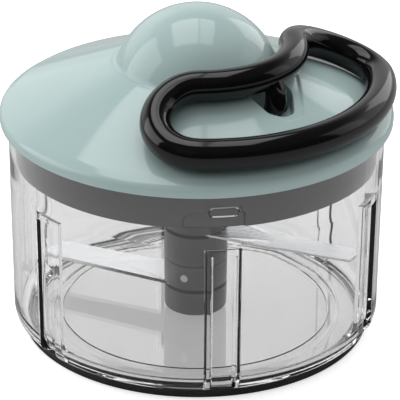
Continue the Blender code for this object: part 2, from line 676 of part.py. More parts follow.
def cover_outline():
    """Closed outline of the lid cover, from the apex of the dome out to its edge and back inside."""
    outline = []
    fillet_radius = CROWN_TOP_RADIUS - 2 * DOME_FILLET
    last = math.acos((CROWN_TOP + 2 * DOME_FILLET - DOME_CENTRE) / DOME_RADIUS)
    for step in range(DOME_STEPS + 1):
        turn = last * step / DOME_STEPS
        outline.append((DOME_RADIUS * math.sin(turn), DOME_CENTRE + DOME_RADIUS * math.cos(turn)))
    outline.append((fillet_radius + DOME_FILLET / 2, CROWN_TOP + DOME_FILLET / 2))
    outline.append((CROWN_TOP_RADIUS + DOME_FILLET, crown_height(CROWN_TOP_RADIUS + DOME_FILLET)))
    outline.append((CROWN_FOOT_RADIUS, CROWN_FOOT))
    round_over = LID_RADIUS - CROWN_FOOT_RADIUS
    outline.append((CROWN_FOOT_RADIUS + round_over / 2, CROWN_FOOT - round_over / 3))
    outline.append((LID_RADIUS - round_over / 6, LID_RIM_HEIGHT + round_over / 2))
    outline.append((LID_RADIUS, LID_RIM_HEIGHT))
    outline.append((LID_RADIUS - GAP, LID_EDGE_HEIGHT + GAP))
    outline.append((LID_RADIUS - 2 * GAP, LID_EDGE_HEIGHT))
    inner_rim = LID_RADIUS - LID_RIM_WALL
    outline.append((inner_rim, LID_EDGE_HEIGHT))
    under_crown = inner_rim - GAP
    outline.append((inner_rim, crown_height(under_crown) - LID_WALL - GAP))
    outline.append((under_crown - GAP, crown_height(under_crown) - LID_WALL))
    outline.append((CROWN_TOP_RADIUS, CROWN_TOP - LID_WALL))
    inner_dome = DOME_RADIUS - LID_WALL
    last_inner = math.acos((CROWN_TOP - DOME_CENTRE) / inner_dome)
    for step in range(DOME_STEPS + 1):
        turn = last_inner * (DOME_STEPS - step) / DOME_STEPS
        outline.append((inner_dome * math.sin(turn), DOME_CENTRE + inner_dome * math.cos(turn)))
    return outline


def recess_plan(margin):
    """Rounded kite of (radial, tangential) points for the handle recess, widened by the margin."""
    length = RECESS_TIP - RECESS_BACK
    half = RECESS_HALF_WIDTH + margin
    shoulder = RECESS_BACK + length * RECESS_SHOULDER_SHARE
    nose = RECESS_BACK + length * RECESS_NOSE_SHARE + margin / 2
    side = [
        (RECESS_BACK - margin, half * RECESS_BACK_SHARE),
        (shoulder - length / 6, half * (1 + RECESS_BACK_SHARE) / 2),
        (shoulder, half),
        (shoulder + length / 4, half * (1 + RECESS_NOSE_WIDTH_SHARE) / 2),
        (nose, half * RECESS_NOSE_WIDTH_SHARE),
    ]
    tip = RECESS_TIP + margin
    mirrored = [(radial, -across) for radial, across in reversed(side)]
    return side + [(tip, half / 4), (tip, -half / 4)] + mirrored


def recess_points(margin):
    """The recess plan turned to its place on the lid, as (x, y)."""
    outward = around(RECESS_AZIMUTH, 1)
    across = around(RECESS_AZIMUTH + 90, 1)
    return [(outward * radial + across * side)[:2] for radial, side in recess_plan(margin)]


def crown_blank(points, bottom):
    """A column of these plan points whose sloping top lies inside the crown's wall."""
    lower = [(x, y, bottom) for x, y in points]
    upper = [(x, y, crown_height(math.hypot(x, y)) - LID_WALL / 2) for x, y in points]
    return lofted([lower, upper])


def make_lid_cover():
    """The green cover: rim, conical crown and palm dome in one shell, with bosses and the handle recess."""
    cover = add_node("lid_cover", turned(cover_outline(), BIG_STEPS), SAGE_PLASTIC)
    underside = RECESS_FLOOR - RECESS_WALL
    cup = add_node("recess_cup", crown_blank(recess_points(RECESS_WALL), underside), SAGE_PLASTIC)
    shape_with(cover, cup, "UNION")
    over = DOME_CENTRE + DOME_RADIUS
    pocket = add_node("recess_pocket", slab(recess_points(0.0), RECESS_FLOOR, over), SAGE_PLASTIC)
    shape_with(cover, pocket, "DIFFERENCE")
    guide_place = around(RECESS_AZIMUTH, GUIDE_PITCH_RADIUS)
    guide_hole = rod(GUIDE_RADIUS + GAP, underside - OVERRUN, RECESS_FLOOR + OVERRUN, SMALL_STEPS)
    hole = add_node("guide_hole", guide_hole, SAGE_PLASTIC)
    hole.location = guide_place
    shape_with(cover, hole, "DIFFERENCE")
    boss_top = DOME_CENTRE + DOME_RADIUS - LID_WALL / 2
    boss = add_node("post_boss", rod(POST_BOSS_RADIUS, POST_BOSS_FOOT, boss_top - LID_WALL / 2, SMALL_STEPS), SAGE_PLASTIC)
    shape_with(cover, boss, "UNION")
    socket = rod(POST_RADIUS + GAP, POST_BOSS_FOOT - OVERRUN, POST_TOP + GAP, SMALL_STEPS)
    shape_with(cover, add_node("post_socket", socket, SAGE_PLASTIC), "DIFFERENCE")
    for index in range(SCREW_COUNT):
        azimuth = SCREW_AZIMUTH + 360 / SCREW_COUNT * index
        place = around(azimuth, SCREW_PITCH_RADIUS)
        ring = [(place + polar(SCREW_BOSS_RADIUS, 30 * side))[:2] for side in range(12)]
        blank = add_node(f"screw_boss_{index + 1}", crown_blank(ring, DECK_TOP + GAP), SAGE_PLASTIC)
        shape_with(cover, blank, "UNION")
        pilot = rod(SCREW_SHANK_RADIUS + GAP, DECK_TOP - OVERRUN, DECK_UNDERSIDE + SCREW_LENGTH + GAP, TINY_STEPS)
        drill = add_node(f"screw_pilot_{index + 1}", pilot, SAGE_PLASTIC)
        drill.location = place
        shape_with(cover, drill, "DIFFERENCE")


def make_lid_plug():
    """The grey plug under the cover: skirt, flange on the bowl's rim, deck and column sleeve."""
    inner = PLUG_RADIUS - PLUG_WALL
    flange_top = PLUG_FLANGE_HEIGHT + PLUG_FLANGE
    bore = BUSH_RADIUS + GAP
    outline = [
        (PLUG_RADIUS, PLUG_FOOT),
        (PLUG_RADIUS, PLUG_FLANGE_HEIGHT),
        (PLUG_FLANGE_REACH, PLUG_FLANGE_HEIGHT),
        (PLUG_FLANGE_REACH, flange_top),
        (inner, flange_top),
        (inner, DECK_TOP),
        (bore, DECK_TOP),
        (bore, DECK_UNDERSIDE),
        (SLEEVE_RADIUS, DECK_UNDERSIDE),
        (SLEEVE_RADIUS, SLEEVE_FOOT),
        (SLEEVE_RADIUS + SLEEVE_WALL, SLEEVE_FOOT),
        (SLEEVE_RADIUS + SLEEVE_WALL, DECK_UNDERSIDE),
        (inner, DECK_UNDERSIDE),
        (inner, PLUG_FOOT),
    ]
    plug = add_node("lid_plug", turned(outline, BIG_STEPS), GREY_PLASTIC)
    lug_edge = math.degrees((LUG_WIDTH / 2 + GROOVE_MARGIN) / BOWL_RADIUS)
    low = PLUG_FOOT - OVERRUN
    pocket_top = LUG_HEIGHT + LUG_THICKNESS / 2 + GROOVE_MARGIN
    stations = [
        (GROOVE_START, low, PLUG_FOOT + GROOVE_MARGIN),
        (GROOVE_SHOULDER, low, GROOVE_HEIGHT),
        (FLUTE_AZIMUTH - lug_edge - GROOVE_EASE_ANGLE, low, GROOVE_HEIGHT),
        (FLUTE_AZIMUTH - lug_edge, low, pocket_top),
        (FLUTE_AZIMUTH, low, pocket_top),
        (FLUTE_AZIMUTH + lug_edge, low, pocket_top),
        (GROOVE_END, low, GROOVE_HEIGHT),
    ]
    groove_shape = wall_strip(stations, PLUG_RADIUS - GROOVE_DEPTH, PLUG_RADIUS + OVERRUN)
    grooves = add_node("lug_grooves", copy_around(groove_shape, LUG_COUNT), GREY_PLASTIC)
    shape_with(plug, grooves, "DIFFERENCE")
    holes = turned(
        [
            (0, DECK_UNDERSIDE - OVERRUN),
            (SCREW_SHANK_RADIUS + GAP, DECK_UNDERSIDE - OVERRUN),
            (SCREW_SHANK_RADIUS + GAP, DECK_TOP + OVERRUN),
            (0, DECK_TOP + OVERRUN),
        ],
        TINY_STEPS,
    )
    place = around(SCREW_AZIMUTH, SCREW_PITCH_RADIUS)
    bmesh.ops.translate(holes, verts=holes.verts, vec=place)
    drills = add_node("deck_drills", copy_around(holes, SCREW_COUNT), GREY_PLASTIC)
    shape_with(plug, drills, "DIFFERENCE")


def make_lid_screws():
    """Pan-head screws that hold the deck against the cover's bosses."""
    top = DECK_UNDERSIDE - GAP
    shape_points = [
        (0, top - SCREW_HEAD_HEIGHT),
        (SCREW_HEAD_RADIUS - SCREW_HEAD_HEIGHT / 3, top - SCREW_HEAD_HEIGHT),
        (SCREW_HEAD_RADIUS, top - SCREW_HEAD_HEIGHT / 2),
        (SCREW_HEAD_RADIUS, top),
        (SCREW_SHANK_RADIUS, top),
        (SCREW_SHANK_RADIUS, top + SCREW_LENGTH),
        (0, top + SCREW_LENGTH),
    ]
    for index in range(SCREW_COUNT):
        azimuth = SCREW_AZIMUTH + 360 / SCREW_COUNT * index
        screw = add_node(f"lid_screw_{index + 1}", turned(shape_points, TINY_STEPS), ZINC_STEEL)
        screw.location = around(azimuth, SCREW_PITCH_RADIUS)


def make_reel_post():
    """The post that the reel turns on, seated in the dome's boss, and the screw that keeps the reel on."""
    bore = POST_SCREW_SHANK + GAP
    bore_top = POST_FOOT + POST_SCREW_LENGTH + GAP
    outline = [
        (bore, POST_FOOT),
        (POST_RADIUS, POST_FOOT),
        (POST_RADIUS, POST_TOP),
        (0, POST_TOP),
        (0, bore_top),
        (bore, bore_top),
    ]
    add_node("reel_post", turned(outline, SMALL_STEPS), WHITE_PLASTIC)
    head_top = WEB_HEIGHT - GAP
    screw = [
        (0, head_top - POST_SCREW_HEAD),
        (POST_SCREW_HEAD_RADIUS, head_top - POST_SCREW_HEAD),
        (POST_SCREW_HEAD_RADIUS, head_top),
        (POST_SCREW_SHANK, head_top),
        (POST_SCREW_SHANK, head_top + POST_SCREW_LENGTH),
        (0, head_top + POST_SCREW_LENGTH),
    ]
    add_node("reel_screw", turned(screw, SMALL_STEPS), ZINC_STEEL)


def make_cord_reel():
    """The reel: a drum with two flanges for the cord, a web, and bosses that carry the pawls."""
    web_top = WEB_HEIGHT + WEB_THICKNESS
    inner = DRUM_RADIUS - DRUM_WALL
    lower_top = LOWER_FLANGE_HEIGHT + FLANGE_THICKNESS
    upper_top = UPPER_FLANGE_HEIGHT + FLANGE_THICKNESS
    bore = POST_RADIUS + GAP
    outline = [
        (inner, DRUM_FOOT),
        (DRUM_RADIUS, DRUM_FOOT),
        (DRUM_RADIUS, LOWER_FLANGE_HEIGHT),
        (FLANGE_RADIUS, LOWER_FLANGE_HEIGHT),
        (FLANGE_RADIUS, lower_top),
        (DRUM_RADIUS, lower_top),
        (DRUM_RADIUS, UPPER_FLANGE_HEIGHT),
        (FLANGE_RADIUS, UPPER_FLANGE_HEIGHT),
        (FLANGE_RADIUS, upper_top),
        (DRUM_RADIUS, upper_top),
        (DRUM_RADIUS, DRUM_TOP),
        (inner, DRUM_TOP),
        (inner, web_top),
        (bore, web_top),
        (bore, WEB_HEIGHT),
        (inner, WEB_HEIGHT),
    ]
    reel = add_node("cord_reel", turned(outline, MEDIUM_STEPS), WHITE_PLASTIC)
    boss = rod(PAWL_PIN_RADIUS * 2, RATCHET_TOP + GAP, WEB_HEIGHT + WEB_THICKNESS / 2, TINY_STEPS)
    bmesh.ops.translate(boss, verts=boss.verts, vec=(PAWL_PIVOT_RADIUS, 0, 0))
    bosses = add_node("pawl_bosses", copy_around(boss, PAWL_COUNT), WHITE_PLASTIC)
    shape_with(reel, bosses, "UNION")
    hole = rod(PAWL_PIN_RADIUS + GAP, DRUM_FOOT, web_top + OVERRUN, TINY_STEPS)
    bmesh.ops.translate(hole, verts=hole.verts, vec=(PAWL_PIVOT_RADIUS, 0, 0))
    holes = add_node("pawl_pin_holes", copy_around(hole, PAWL_COUNT), WHITE_PLASTIC)
    shape_with(reel, holes, "DIFFERENCE")
    cover = tube(bore, DRUM_RADIUS, DRUM_TOP + GAP, DRUM_TOP + GAP + SPRING_COVER_THICKNESS, MEDIUM_STEPS)
    add_node("spring_cover", cover, ZINC_STEEL)
    bottom = lower_top + GAP
    top = UPPER_FLANGE_HEIGHT - GAP
    winding = [
        (DRUM_RADIUS + GAP, bottom),
        (WINDING_RADIUS - WINDING_ROUND, bottom),
        (WINDING_RADIUS, bottom + WINDING_ROUND),
        (WINDING_RADIUS, top - WINDING_ROUND),
        (WINDING_RADIUS - WINDING_ROUND, top),
        (DRUM_RADIUS + GAP, top),
    ]
    add_node("cord_winding", turned(winding, MEDIUM_STEPS), CORD_FIBRE)


def make_power_spring():
    """The flat spiral spring that winds the cord back, from the post out to the drum's wall."""
    start = POST_RADIUS + GAP
    end = DRUM_RADIUS - DRUM_WALL - GAP - SPRING_THICKNESS
    steps = SPRING_TURNS * SPRING_STEPS_PER_TURN
    inner_side = []
    outer_side = []
    for step in range(steps + 1):
        radius = start + (end - start) * step / steps
        bearing = 360 * SPRING_TURNS * step / steps
        inner_side.append(polar(radius, bearing)[:2])
        outer_side.append(polar(radius + SPRING_THICKNESS, bearing)[:2])
    bottom = WEB_HEIGHT + WEB_THICKNESS + GAP
    shape = bmesh.new()
    columns = []
    for inner, outer in zip(inner_side, outer_side):
        corners = [(*inner, bottom), (*outer, bottom), (*outer, DRUM_TOP - GAP), (*inner, DRUM_TOP - GAP)]
        columns.append([shape.verts.new(corner) for corner in corners])
    for near, far in zip(columns, columns[1:]):
        for index in range(4):
            following = (index + 1) % 4
            shape.faces.new((near[index], near[following], far[following], far[index]))
    shape.faces.new(columns[0][::-1])
    shape.faces.new(columns[-1])
    add_node("power_spring", shape, SPRING_STEEL, sharp_from=40.0)


def make_ratchet_wheel():
    """The saw-toothed wheel on the drive shaft."""
    pitch = 360.0 / RATCHET_TEETH
    first = PAWL_NOSE_ANGLE + PAWL_FACE_ANGLE
    outline = []
    for tooth in range(RATCHET_TEETH):
        face = first + tooth * pitch
        outline.append(polar(RATCHET_ROOT, face)[:2])
        outline.append(polar(RATCHET_RADIUS, face)[:2])
        middle = (RATCHET_ROOT + RATCHET_RADIUS) / 2
        outline.append(polar(middle, face + pitch / 2)[:2])
    wheel = add_node("ratchet_wheel", slab(outline, RATCHET_FOOT, RATCHET_TOP), WHITE_PLASTIC, 20.0)
    bore = rod(SHAFT_RADIUS + GAP, RATCHET_FOOT - OVERRUN, RATCHET_TOP + OVERRUN, SMALL_STEPS)
    shape_with(wheel, add_node("ratchet_bore", bore, WHITE_PLASTIC), "DIFFERENCE")


def pawl_outline():
    """Plan of a pawl about its pivot: a curved arm from the eye to a blunt nose."""
    pivot = polar(PAWL_PIVOT_RADIUS, 0)
    nose_outer = PAWL_NOSE_RADIUS + PAWL_NOSE_DEPTH
    path = [
        polar(PAWL_NOSE_RADIUS, PAWL_NOSE_ANGLE),
        polar(RATCHET_RADIUS + RUNNING_GAP, PAWL_NOSE_ANGLE * 0.6),
        polar(RATCHET_RADIUS + PAWL_EYE_RADIUS / 2, PAWL_NOSE_ANGLE * 0.2),
    ]
    for step in range(PAWL_EYE_STEPS + 1):
        bearing = 190 + 210 * step / PAWL_EYE_STEPS
        path.append(pivot + polar(PAWL_EYE_RADIUS, bearing))
    path.append(polar(RATCHET_RADIUS + RUNNING_GAP + PAWL_ARM_WIDTH, PAWL_NOSE_ANGLE * 0.6))
    path.append(polar(nose_outer, PAWL_NOSE_ANGLE))
    return [(point - pivot)[:2] for point in path]


def make_pawls():
    """Two pawls on headed pins under the reel's web, with their noses behind ratchet teeth."""
    for index in range(PAWL_COUNT):
        bearing = 360.0 / PAWL_COUNT * index
        place = polar(PAWL_PIVOT_RADIUS, bearing)
        body = slab(pawl_outline(), RATCHET_FOOT, RATCHET_TOP)
        pawl = add_node(f"pawl_{index + 1}", body, ZINC_STEEL)
        eye = rod(PAWL_PIN_RADIUS + GAP, RATCHET_FOOT - OVERRUN, RATCHET_TOP + OVERRUN, TINY_STEPS)
        drill = add_node(f"pawl_eye_{index + 1}", eye, ZINC_STEEL)
        shape_with(pawl, drill, "DIFFERENCE")
        foot = RATCHET_FOOT - GAP
        pin_outline = [
            (0, foot - PAWL_PIN_HEAD),
            (PAWL_PIN_HEAD_RADIUS, foot - PAWL_PIN_HEAD),
            (PAWL_PIN_HEAD_RADIUS, foot),
            (PAWL_PIN_RADIUS, foot),
            (PAWL_PIN_RADIUS, WEB_HEIGHT + WEB_THICKNESS),
            (0, WEB_HEIGHT + WEB_THICKNESS),
        ]
        pin = add_node(f"pawl_pin_{index + 1}", turned(pin_outline, TINY_STEPS), ZINC_STEEL)
        for piece in (pawl, drill, pin):
            piece.location = place
            piece.rotation_euler.z = math.radians(bearing)


def make_drive_shaft():
    """The shaft from the clutch down to the column's socket, with its bush in the deck and its clip."""
    collar_foot = DECK_TOP + BUSH_FLANGE + 2 * GAP
    outline = [
        (0, DECK_UNDERSIDE - BUSH_FLANGE),
        (SHAFT_RADIUS, DECK_UNDERSIDE - BUSH_FLANGE),
        (SHAFT_RADIUS, collar_foot),
        (SHAFT_COLLAR_RADIUS, collar_foot),
        (SHAFT_COLLAR_RADIUS, collar_foot + SHAFT_COLLAR),
        (SHAFT_RADIUS, collar_foot + SHAFT_COLLAR),
        (SHAFT_RADIUS, SHAFT_TOP),
        (0, SHAFT_TOP),
    ]
    shaft = add_node("drive_shaft", turned(outline, SMALL_STEPS), WHITE_PLASTIC)
    corner = SOCKET_CORNER_RADIUS - RUNNING_GAP
    hexagon = [polar(corner, 60 * index)[:2] for index in range(6)]
    tongue = slab(hexagon, SHAFT_FOOT, DECK_UNDERSIDE - BUSH_FLANGE / 2)
    shape_with(shaft, add_node("shaft_tongue", tongue, WHITE_PLASTIC), "UNION")
    bush = [
        (SHAFT_RADIUS + GAP, DECK_UNDERSIDE),
        (BUSH_RADIUS, DECK_UNDERSIDE),
        (BUSH_RADIUS, DECK_TOP + GAP),
        (BUSH_FLANGE_RADIUS, DECK_TOP + GAP),
        (BUSH_FLANGE_RADIUS, DECK_TOP + GAP + BUSH_FLANGE),
        (SHAFT_RADIUS + GAP, DECK_TOP + GAP + BUSH_FLANGE),
    ]
    add_node("shaft_bush", turned(bush, SMALL_STEPS), STAINLESS)
    clip_foot = RATCHET_TOP + GAP
    clip = tube(SHAFT_RADIUS + GAP, CLIP_RADIUS, clip_foot, clip_foot + CLIP_THICKNESS, SMALL_STEPS)
    add_node("shaft_clip", clip, SPRING_STEEL)


def make_cord_guide():
    """The smooth eyelet in the recess floor that the cord runs out through."""
    under = RECESS_FLOOR - RECESS_WALL - GAP
    top = RECESS_FLOOR + GUIDE_LIP
    outline = [
        (GUIDE_BORE + GUIDE_LIP, under - GUIDE_FLANGE),
        (GUIDE_FLANGE_RADIUS, under - GUIDE_FLANGE),
        (GUIDE_FLANGE_RADIUS, under),
        (GUIDE_RADIUS, under),
        (GUIDE_RADIUS, top - GUIDE_LIP / 2),
        (GUIDE_RADIUS - GUIDE_LIP / 2, top),
        (GUIDE_BORE + GUIDE_LIP, top),
        (GUIDE_BORE, top - GUIDE_LIP),
        (GUIDE_BORE, under),
    ]
    guide = add_node("cord_guide", turned(outline, SMALL_STEPS), STAINLESS)
    guide.location = around(RECESS_AZIMUTH, GUIDE_PITCH_RADIUS)


def handle_path():
    """Points of (x, y, height, bar radius) round the kidney-shaped loop."""
    middle = (HANDLE_LEFT_RADIUS + HANDLE_RIGHT_RADIUS) / 2
    growth = (HANDLE_RIGHT_RADIUS - HANDLE_LEFT_RADIUS) / 2
    left = HANDLE_AZIMUTH - HANDLE_HALF_SPAN
    right = HANDLE_AZIMUTH + HANDLE_HALF_SPAN
    plan = []
    for step in range(OUTER_ARC_STEPS + 1):
        share = -1 + 2 * step / OUTER_ARC_STEPS
        radius = middle + growth * share
        plan.append((around(HANDLE_AZIMUTH + HANDLE_HALF_SPAN * share, radius), 0.0))
    plan += lobe(right, HANDLE_RIGHT_RADIUS, 1)
    for step in range(INNER_ARC_STEPS + 1):
        share = 1 - 2 * step / INNER_ARC_STEPS
        plan.append((around(HANDLE_AZIMUTH + HANDLE_HALF_SPAN * share, HANDLE_INNER_RADIUS), 1.0))
    plan += lobe(left, HANDLE_LEFT_RADIUS, -1)
    points = []
    slant = math.cos(math.atan(CROWN_SLOPE))
    for point, share in plan:
        bar = OUTER_BAR_RADIUS + (INNER_BAR_RADIUS - OUTER_BAR_RADIUS) * share
        lift = (bar + GAP) / slant + INNER_BAR_LIFT * share
        height = crown_height(math.hypot(point.x, point.y)) + lift
        points.append((Vector((point.x, point.y, height)), bar))
    return points


def lobe(azimuth, outer_radius, way):
    """Points round one end of the loop, with the share of the inner bar reached at each."""
    centre_radius = (outer_radius + HANDLE_INNER_RADIUS) / 2
    lobe_radius = (outer_radius - HANDLE_INNER_RADIUS) / 2
    centre = around(azimuth, centre_radius)
    points = []
    for step in range(1, LOBE_STEPS):
        share = step / LOBE_STEPS
        turn = 180 * share if way > 0 else 180 * (1 - share)
        point = centre + around(azimuth + way * turn, lobe_radius)
        inner_share = (1 - math.cos(math.radians(turn))) / 2
        points.append((point, inner_share))
    return points


def make_pull_handle():
    """The black loop that lies round the dome, with the stem that seats in the recess."""
    path = handle_path()
    rings = []
    for index, (point, bar) in enumerate(path):
        before = path[index - 1][0]
        after = path[(index + 1) % len(path)][0]
        along = (after - before).normalized()
        sideways = along.cross(Vector((0, 0, 1))).normalized()
        upright = sideways.cross(along)
        ring = []
        for side in range(BAR_SIDES):
            turn = 2 * math.pi * (side + 0.5) / BAR_SIDES
            ring.append(point + bar * (math.cos(turn) * sideways + math.sin(turn) * upright))
        rings.append(ring)
    shape = bmesh.new()
    loops = [[shape.verts.new(point) for point in ring] for ring in rings]
    for near, far in zip(loops, loops[1:] + loops[:1]):
        for index in range(BAR_SIDES):
            following = (index + 1) % BAR_SIDES
            shape.faces.new((near[index], near[following], far[following], far[index]))
    handle = add_node("pull_handle", shape, BLACK_PLASTIC, sharp_from=60.0)
    foot = RECESS_FLOOR + STEM_CLEARANCE
    stem_outline = [
        (0, foot),
        (STEM_FOOT_RADIUS - STEM_ROUND, foot),
        (STEM_FOOT_RADIUS, foot + STEM_ROUND),
        (STEM_TOP_RADIUS, STEM_TOP),
        (0, STEM_TOP),
    ]
    stem = add_node("handle_stem", turned(stem_outline, SMALL_STEPS), BLACK_PLASTIC)
    stem.location = around(RECESS_AZIMUTH, STEM_PITCH_RADIUS)
    shape_with(handle, stem, "UNION")
    outward = around(RECESS_AZIMUTH, 1)
    rise = math.radians(KNOT_ELEVATION)
    facing = outward * math.cos(rise) + Vector((0, 0, math.sin(rise)))
    start = around(RECESS_AZIMUTH, KNOT_PITCH_RADIUS, KNOT_HEIGHT)
    turn = facing.to_track_quat("Z", "Y")
    chamber_length = KNOT_LENGTH + KNOT_CAP_THICKNESS + 2 * GAP
    chamber = rod(KNOT_CAP_RADIUS + GAP, 0, chamber_length + STEM_FOOT_RADIUS, TINY_STEPS)
    cutter = add_node("knot_chamber", chamber, BLACK_PLASTIC)
    cap_foot = KNOT_LENGTH + 2 * GAP
    cap_outline = [
        (0, cap_foot),
        (KNOT_CAP_RADIUS, cap_foot),
        (KNOT_CAP_RADIUS, cap_foot + KNOT_CAP_THICKNESS - KNOT_CAP_ROUND),
        (KNOT_CAP_RADIUS - KNOT_CAP_ROUND, cap_foot + KNOT_CAP_THICKNESS),
        (0, cap_foot + KNOT_CAP_THICKNESS),
    ]
    cap = add_node("knot_cap", turned(cap_outline, SMALL_STEPS), GREY_PLASTIC)
    knot_outline = [
        (0, GAP),
        (KNOT_RADIUS * 2 / 3, GAP),
        (KNOT_RADIUS, KNOT_LENGTH / 3),
        (KNOT_RADIUS, KNOT_LENGTH * 2 / 3),
        (KNOT_RADIUS * 2 / 3, KNOT_LENGTH),
        (0, KNOT_LENGTH),
    ]
    knot = add_node("cord_knot", turned(knot_outline, TINY_STEPS), CORD_FIBRE)
    for piece in (cutter, cap, knot):
        piece.location = start
        piece.rotation_mode = "QUATERNION"
        piece.rotation_quaternion = turn
    shape_with(handle, cutter, "DIFFERENCE")
    bore = rod(GUIDE_BORE, foot - OVERRUN, KNOT_HEIGHT, TINY_STEPS)
    drill = add_node("stem_bore", bore, BLACK_PLASTIC)
    drill.location = around(RECESS_AZIMUTH, GUIDE_PITCH_RADIUS)
    shape_with(handle, drill, "DIFFERENCE")


def make_cord(name, first, last, route_shares):
    """A stretch of round cord along a smooth curve between two points, by shares of the way."""
    way = last - first
    points = [first + Vector((way.x * x, way.y * y, way.z * z)) for x, y, z in route_shares]
    smooth = []
    for index in range(len(points) - 1):
        before = points[max(index - 1, 0)]
        start = points[index]
        end = points[index + 1]
        after = points[min(index + 2, len(points) - 1)]
        for step in range(CORD_STEPS_PER_SPAN):
            share = step / CORD_STEPS_PER_SPAN
            linear = (end - before) / 2 * share
            square = (2 * before - 5 * start + 4 * end - after) / 2 * share**2
            cube = (3 * start - before - 3 * end + after) / 2 * share**3
            smooth.append(start + linear + square + cube)
    smooth.append(points[-1])
    curve = bpy.data.curves.new(name, "CURVE")
    curve.dimensions = "3D"
    curve.bevel_depth = CORD_RADIUS
    curve.bevel_resolution = 2
    curve.use_fill_caps = True
    spline = curve.splines.new("POLY")
    spline.points.add(len(smooth) - 1)
    for target, point in zip(spline.points, smooth):
        target.co = (*point, 1.0)
    curve.materials.append(CORD_FIBRE)
    cord = bpy.data.objects.new(name, curve)
    bpy.context.scene.collection.objects.link(cord)


def make_cords():
    """The cord from the winding to the guide's mouth, and from there up the handle's stem."""
    tangent_height = LOWER_FLANGE_HEIGHT + FLANGE_THICKNESS + CORD_TANGENT_LIFT
    tangent = around(CORD_TANGENT_AZIMUTH, WINDING_RADIUS + CORD_TANGENT_OUT, tangent_height)
    mouth = around(RECESS_AZIMUTH, GUIDE_PITCH_RADIUS, RECESS_FLOOR + CORD_MOUTH)
    make_cord("cord_lead", tangent, mouth, CORD_ROUTE_SHARES)
    start = mouth + Vector((0, 0, GAP))
    make_cord("pull_cord", start, start + Vector((0, 0, STEM_CORD_LENGTH)), STEM_CORD_SHARES)


make_bowl()
make_base_ring()
make_pivot_pin()
make_blade_column()
make_lid_cover()
make_lid_plug()
make_lid_screws()
make_reel_post()
make_cord_reel()
make_power_spring()
make_ratchet_wheel()
make_pawls()
make_drive_shaft()
make_cord_guide()
make_pull_handle()
make_cords()
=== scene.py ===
"""Looks of a pull-cord food chopper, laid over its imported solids.

Metres, +Z up, standing on z = 0, front towards -Y. Azimuths count from the front towards the right.
"""

import math

import bpy
import numpy as np
from mathutils import Matrix, Vector


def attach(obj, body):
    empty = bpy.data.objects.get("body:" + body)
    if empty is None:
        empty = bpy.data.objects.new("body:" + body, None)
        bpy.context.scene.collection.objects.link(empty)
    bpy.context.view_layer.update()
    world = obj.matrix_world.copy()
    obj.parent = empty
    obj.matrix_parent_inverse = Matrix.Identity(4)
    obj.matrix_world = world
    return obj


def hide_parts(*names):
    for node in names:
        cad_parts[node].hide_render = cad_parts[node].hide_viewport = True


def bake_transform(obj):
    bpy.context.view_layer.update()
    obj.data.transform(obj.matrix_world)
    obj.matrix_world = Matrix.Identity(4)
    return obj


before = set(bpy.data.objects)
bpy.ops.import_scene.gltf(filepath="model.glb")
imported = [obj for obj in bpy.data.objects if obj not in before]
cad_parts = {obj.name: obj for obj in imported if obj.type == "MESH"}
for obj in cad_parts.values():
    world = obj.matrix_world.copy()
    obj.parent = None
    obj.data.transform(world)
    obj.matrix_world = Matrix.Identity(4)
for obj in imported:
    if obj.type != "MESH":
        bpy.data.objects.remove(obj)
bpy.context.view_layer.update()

# Camera
# A long lens looks down on the chopper from the front, rolled by a fraction of a degree.
# The lens shift puts the object where the photograph has it in the frame.
CAMERA_PLACE = Vector((0, -0.9659, 0.5203))
CAMERA_AIM = Vector((0, 0, 0.060))
CAMERA_ROLL = math.radians(0.38)
CAMERA_LENS = 226.5
CAMERA_SENSOR = 36
CAMERA_SHIFT_X, CAMERA_SHIFT_Y = 0.0096, -0.0322
camera = bpy.data.objects.new("camera", bpy.data.cameras.new("camera"))
bpy.context.scene.collection.objects.link(camera)
camera.data.lens = CAMERA_LENS
camera.data.sensor_width = CAMERA_SENSOR
camera.data.shift_x = CAMERA_SHIFT_X
camera.data.shift_y = CAMERA_SHIFT_Y
aim = (CAMERA_AIM - CAMERA_PLACE).to_track_quat("-Z", "Y").to_matrix()
aim = aim @ Matrix.Rotation(CAMERA_ROLL, 3, "Z")
camera.matrix_world = Matrix.Translation(CAMERA_PLACE) @ aim.to_4x4()
bpy.context.scene.camera = camera
bpy.context.scene.view_settings.view_transform = "Standard"

# Room
# A pale studio tent, white where it is seen directly. The light that falls on the object and that
# its gloss mirrors is bright behind it and dim towards the room behind the camera.
# Levels in front, behind and above. Light seen through the clear walls has none above, and a
# brighter one behind for rays that a gloss has mirrored on the way.
DIFFUSE_FRONT, DIFFUSE_BACK, DIFFUSE_UP = 0.08, 1.0, 0.75
GLOSS_FRONT, GLOSS_BACK, GLOSS_UP = 0.02, 0.7, 0.06
CLEAR_FRONT, CLEAR_BACK, CLEAR_MIRRORED = 0.8, 0.95, 1.7
BACK_FROM, BACK_TO = -0.2, 0.5
TOP_FROM, TOP_TO = 0.35, 0.75


def add(tree, kind, links=None, **values):
    """A node of this kind: its properties and sockets set by name, and its inputs linked."""
    node = tree.nodes.new(kind)
    for name, value in values.items():
        if hasattr(node, name):
            setattr(node, name, value)
        else:
            node.inputs[name.replace("_", " ")].default_value = value
    for target, source in (links or {}).items():
        tree.links.new(source, node.inputs[target])
    return node


def linear(code, alpha=1.0):
    """An sRGB hex colour as linear red, green, blue and alpha."""
    channels = [int(code[place:place + 2], 16) / 255 for place in (1, 3, 5)]
    return tuple(c / 12.92 if c <= 0.04045 else ((c + 0.055) / 1.055) ** 2.4 for c in channels) + (alpha,)


def between(tree, share, low, high):
    """A level between two others, by a share. Each of the two is a number or a node's output."""
    node = tree.nodes.new("ShaderNodeMix")
    tree.links.new(share, node.inputs[0])
    for place, level in ((2, low), (3, high)):
        if isinstance(level, float):
            node.inputs[place].default_value = level
        else:
            tree.links.new(level, node.inputs[place])
    return node.outputs[0]


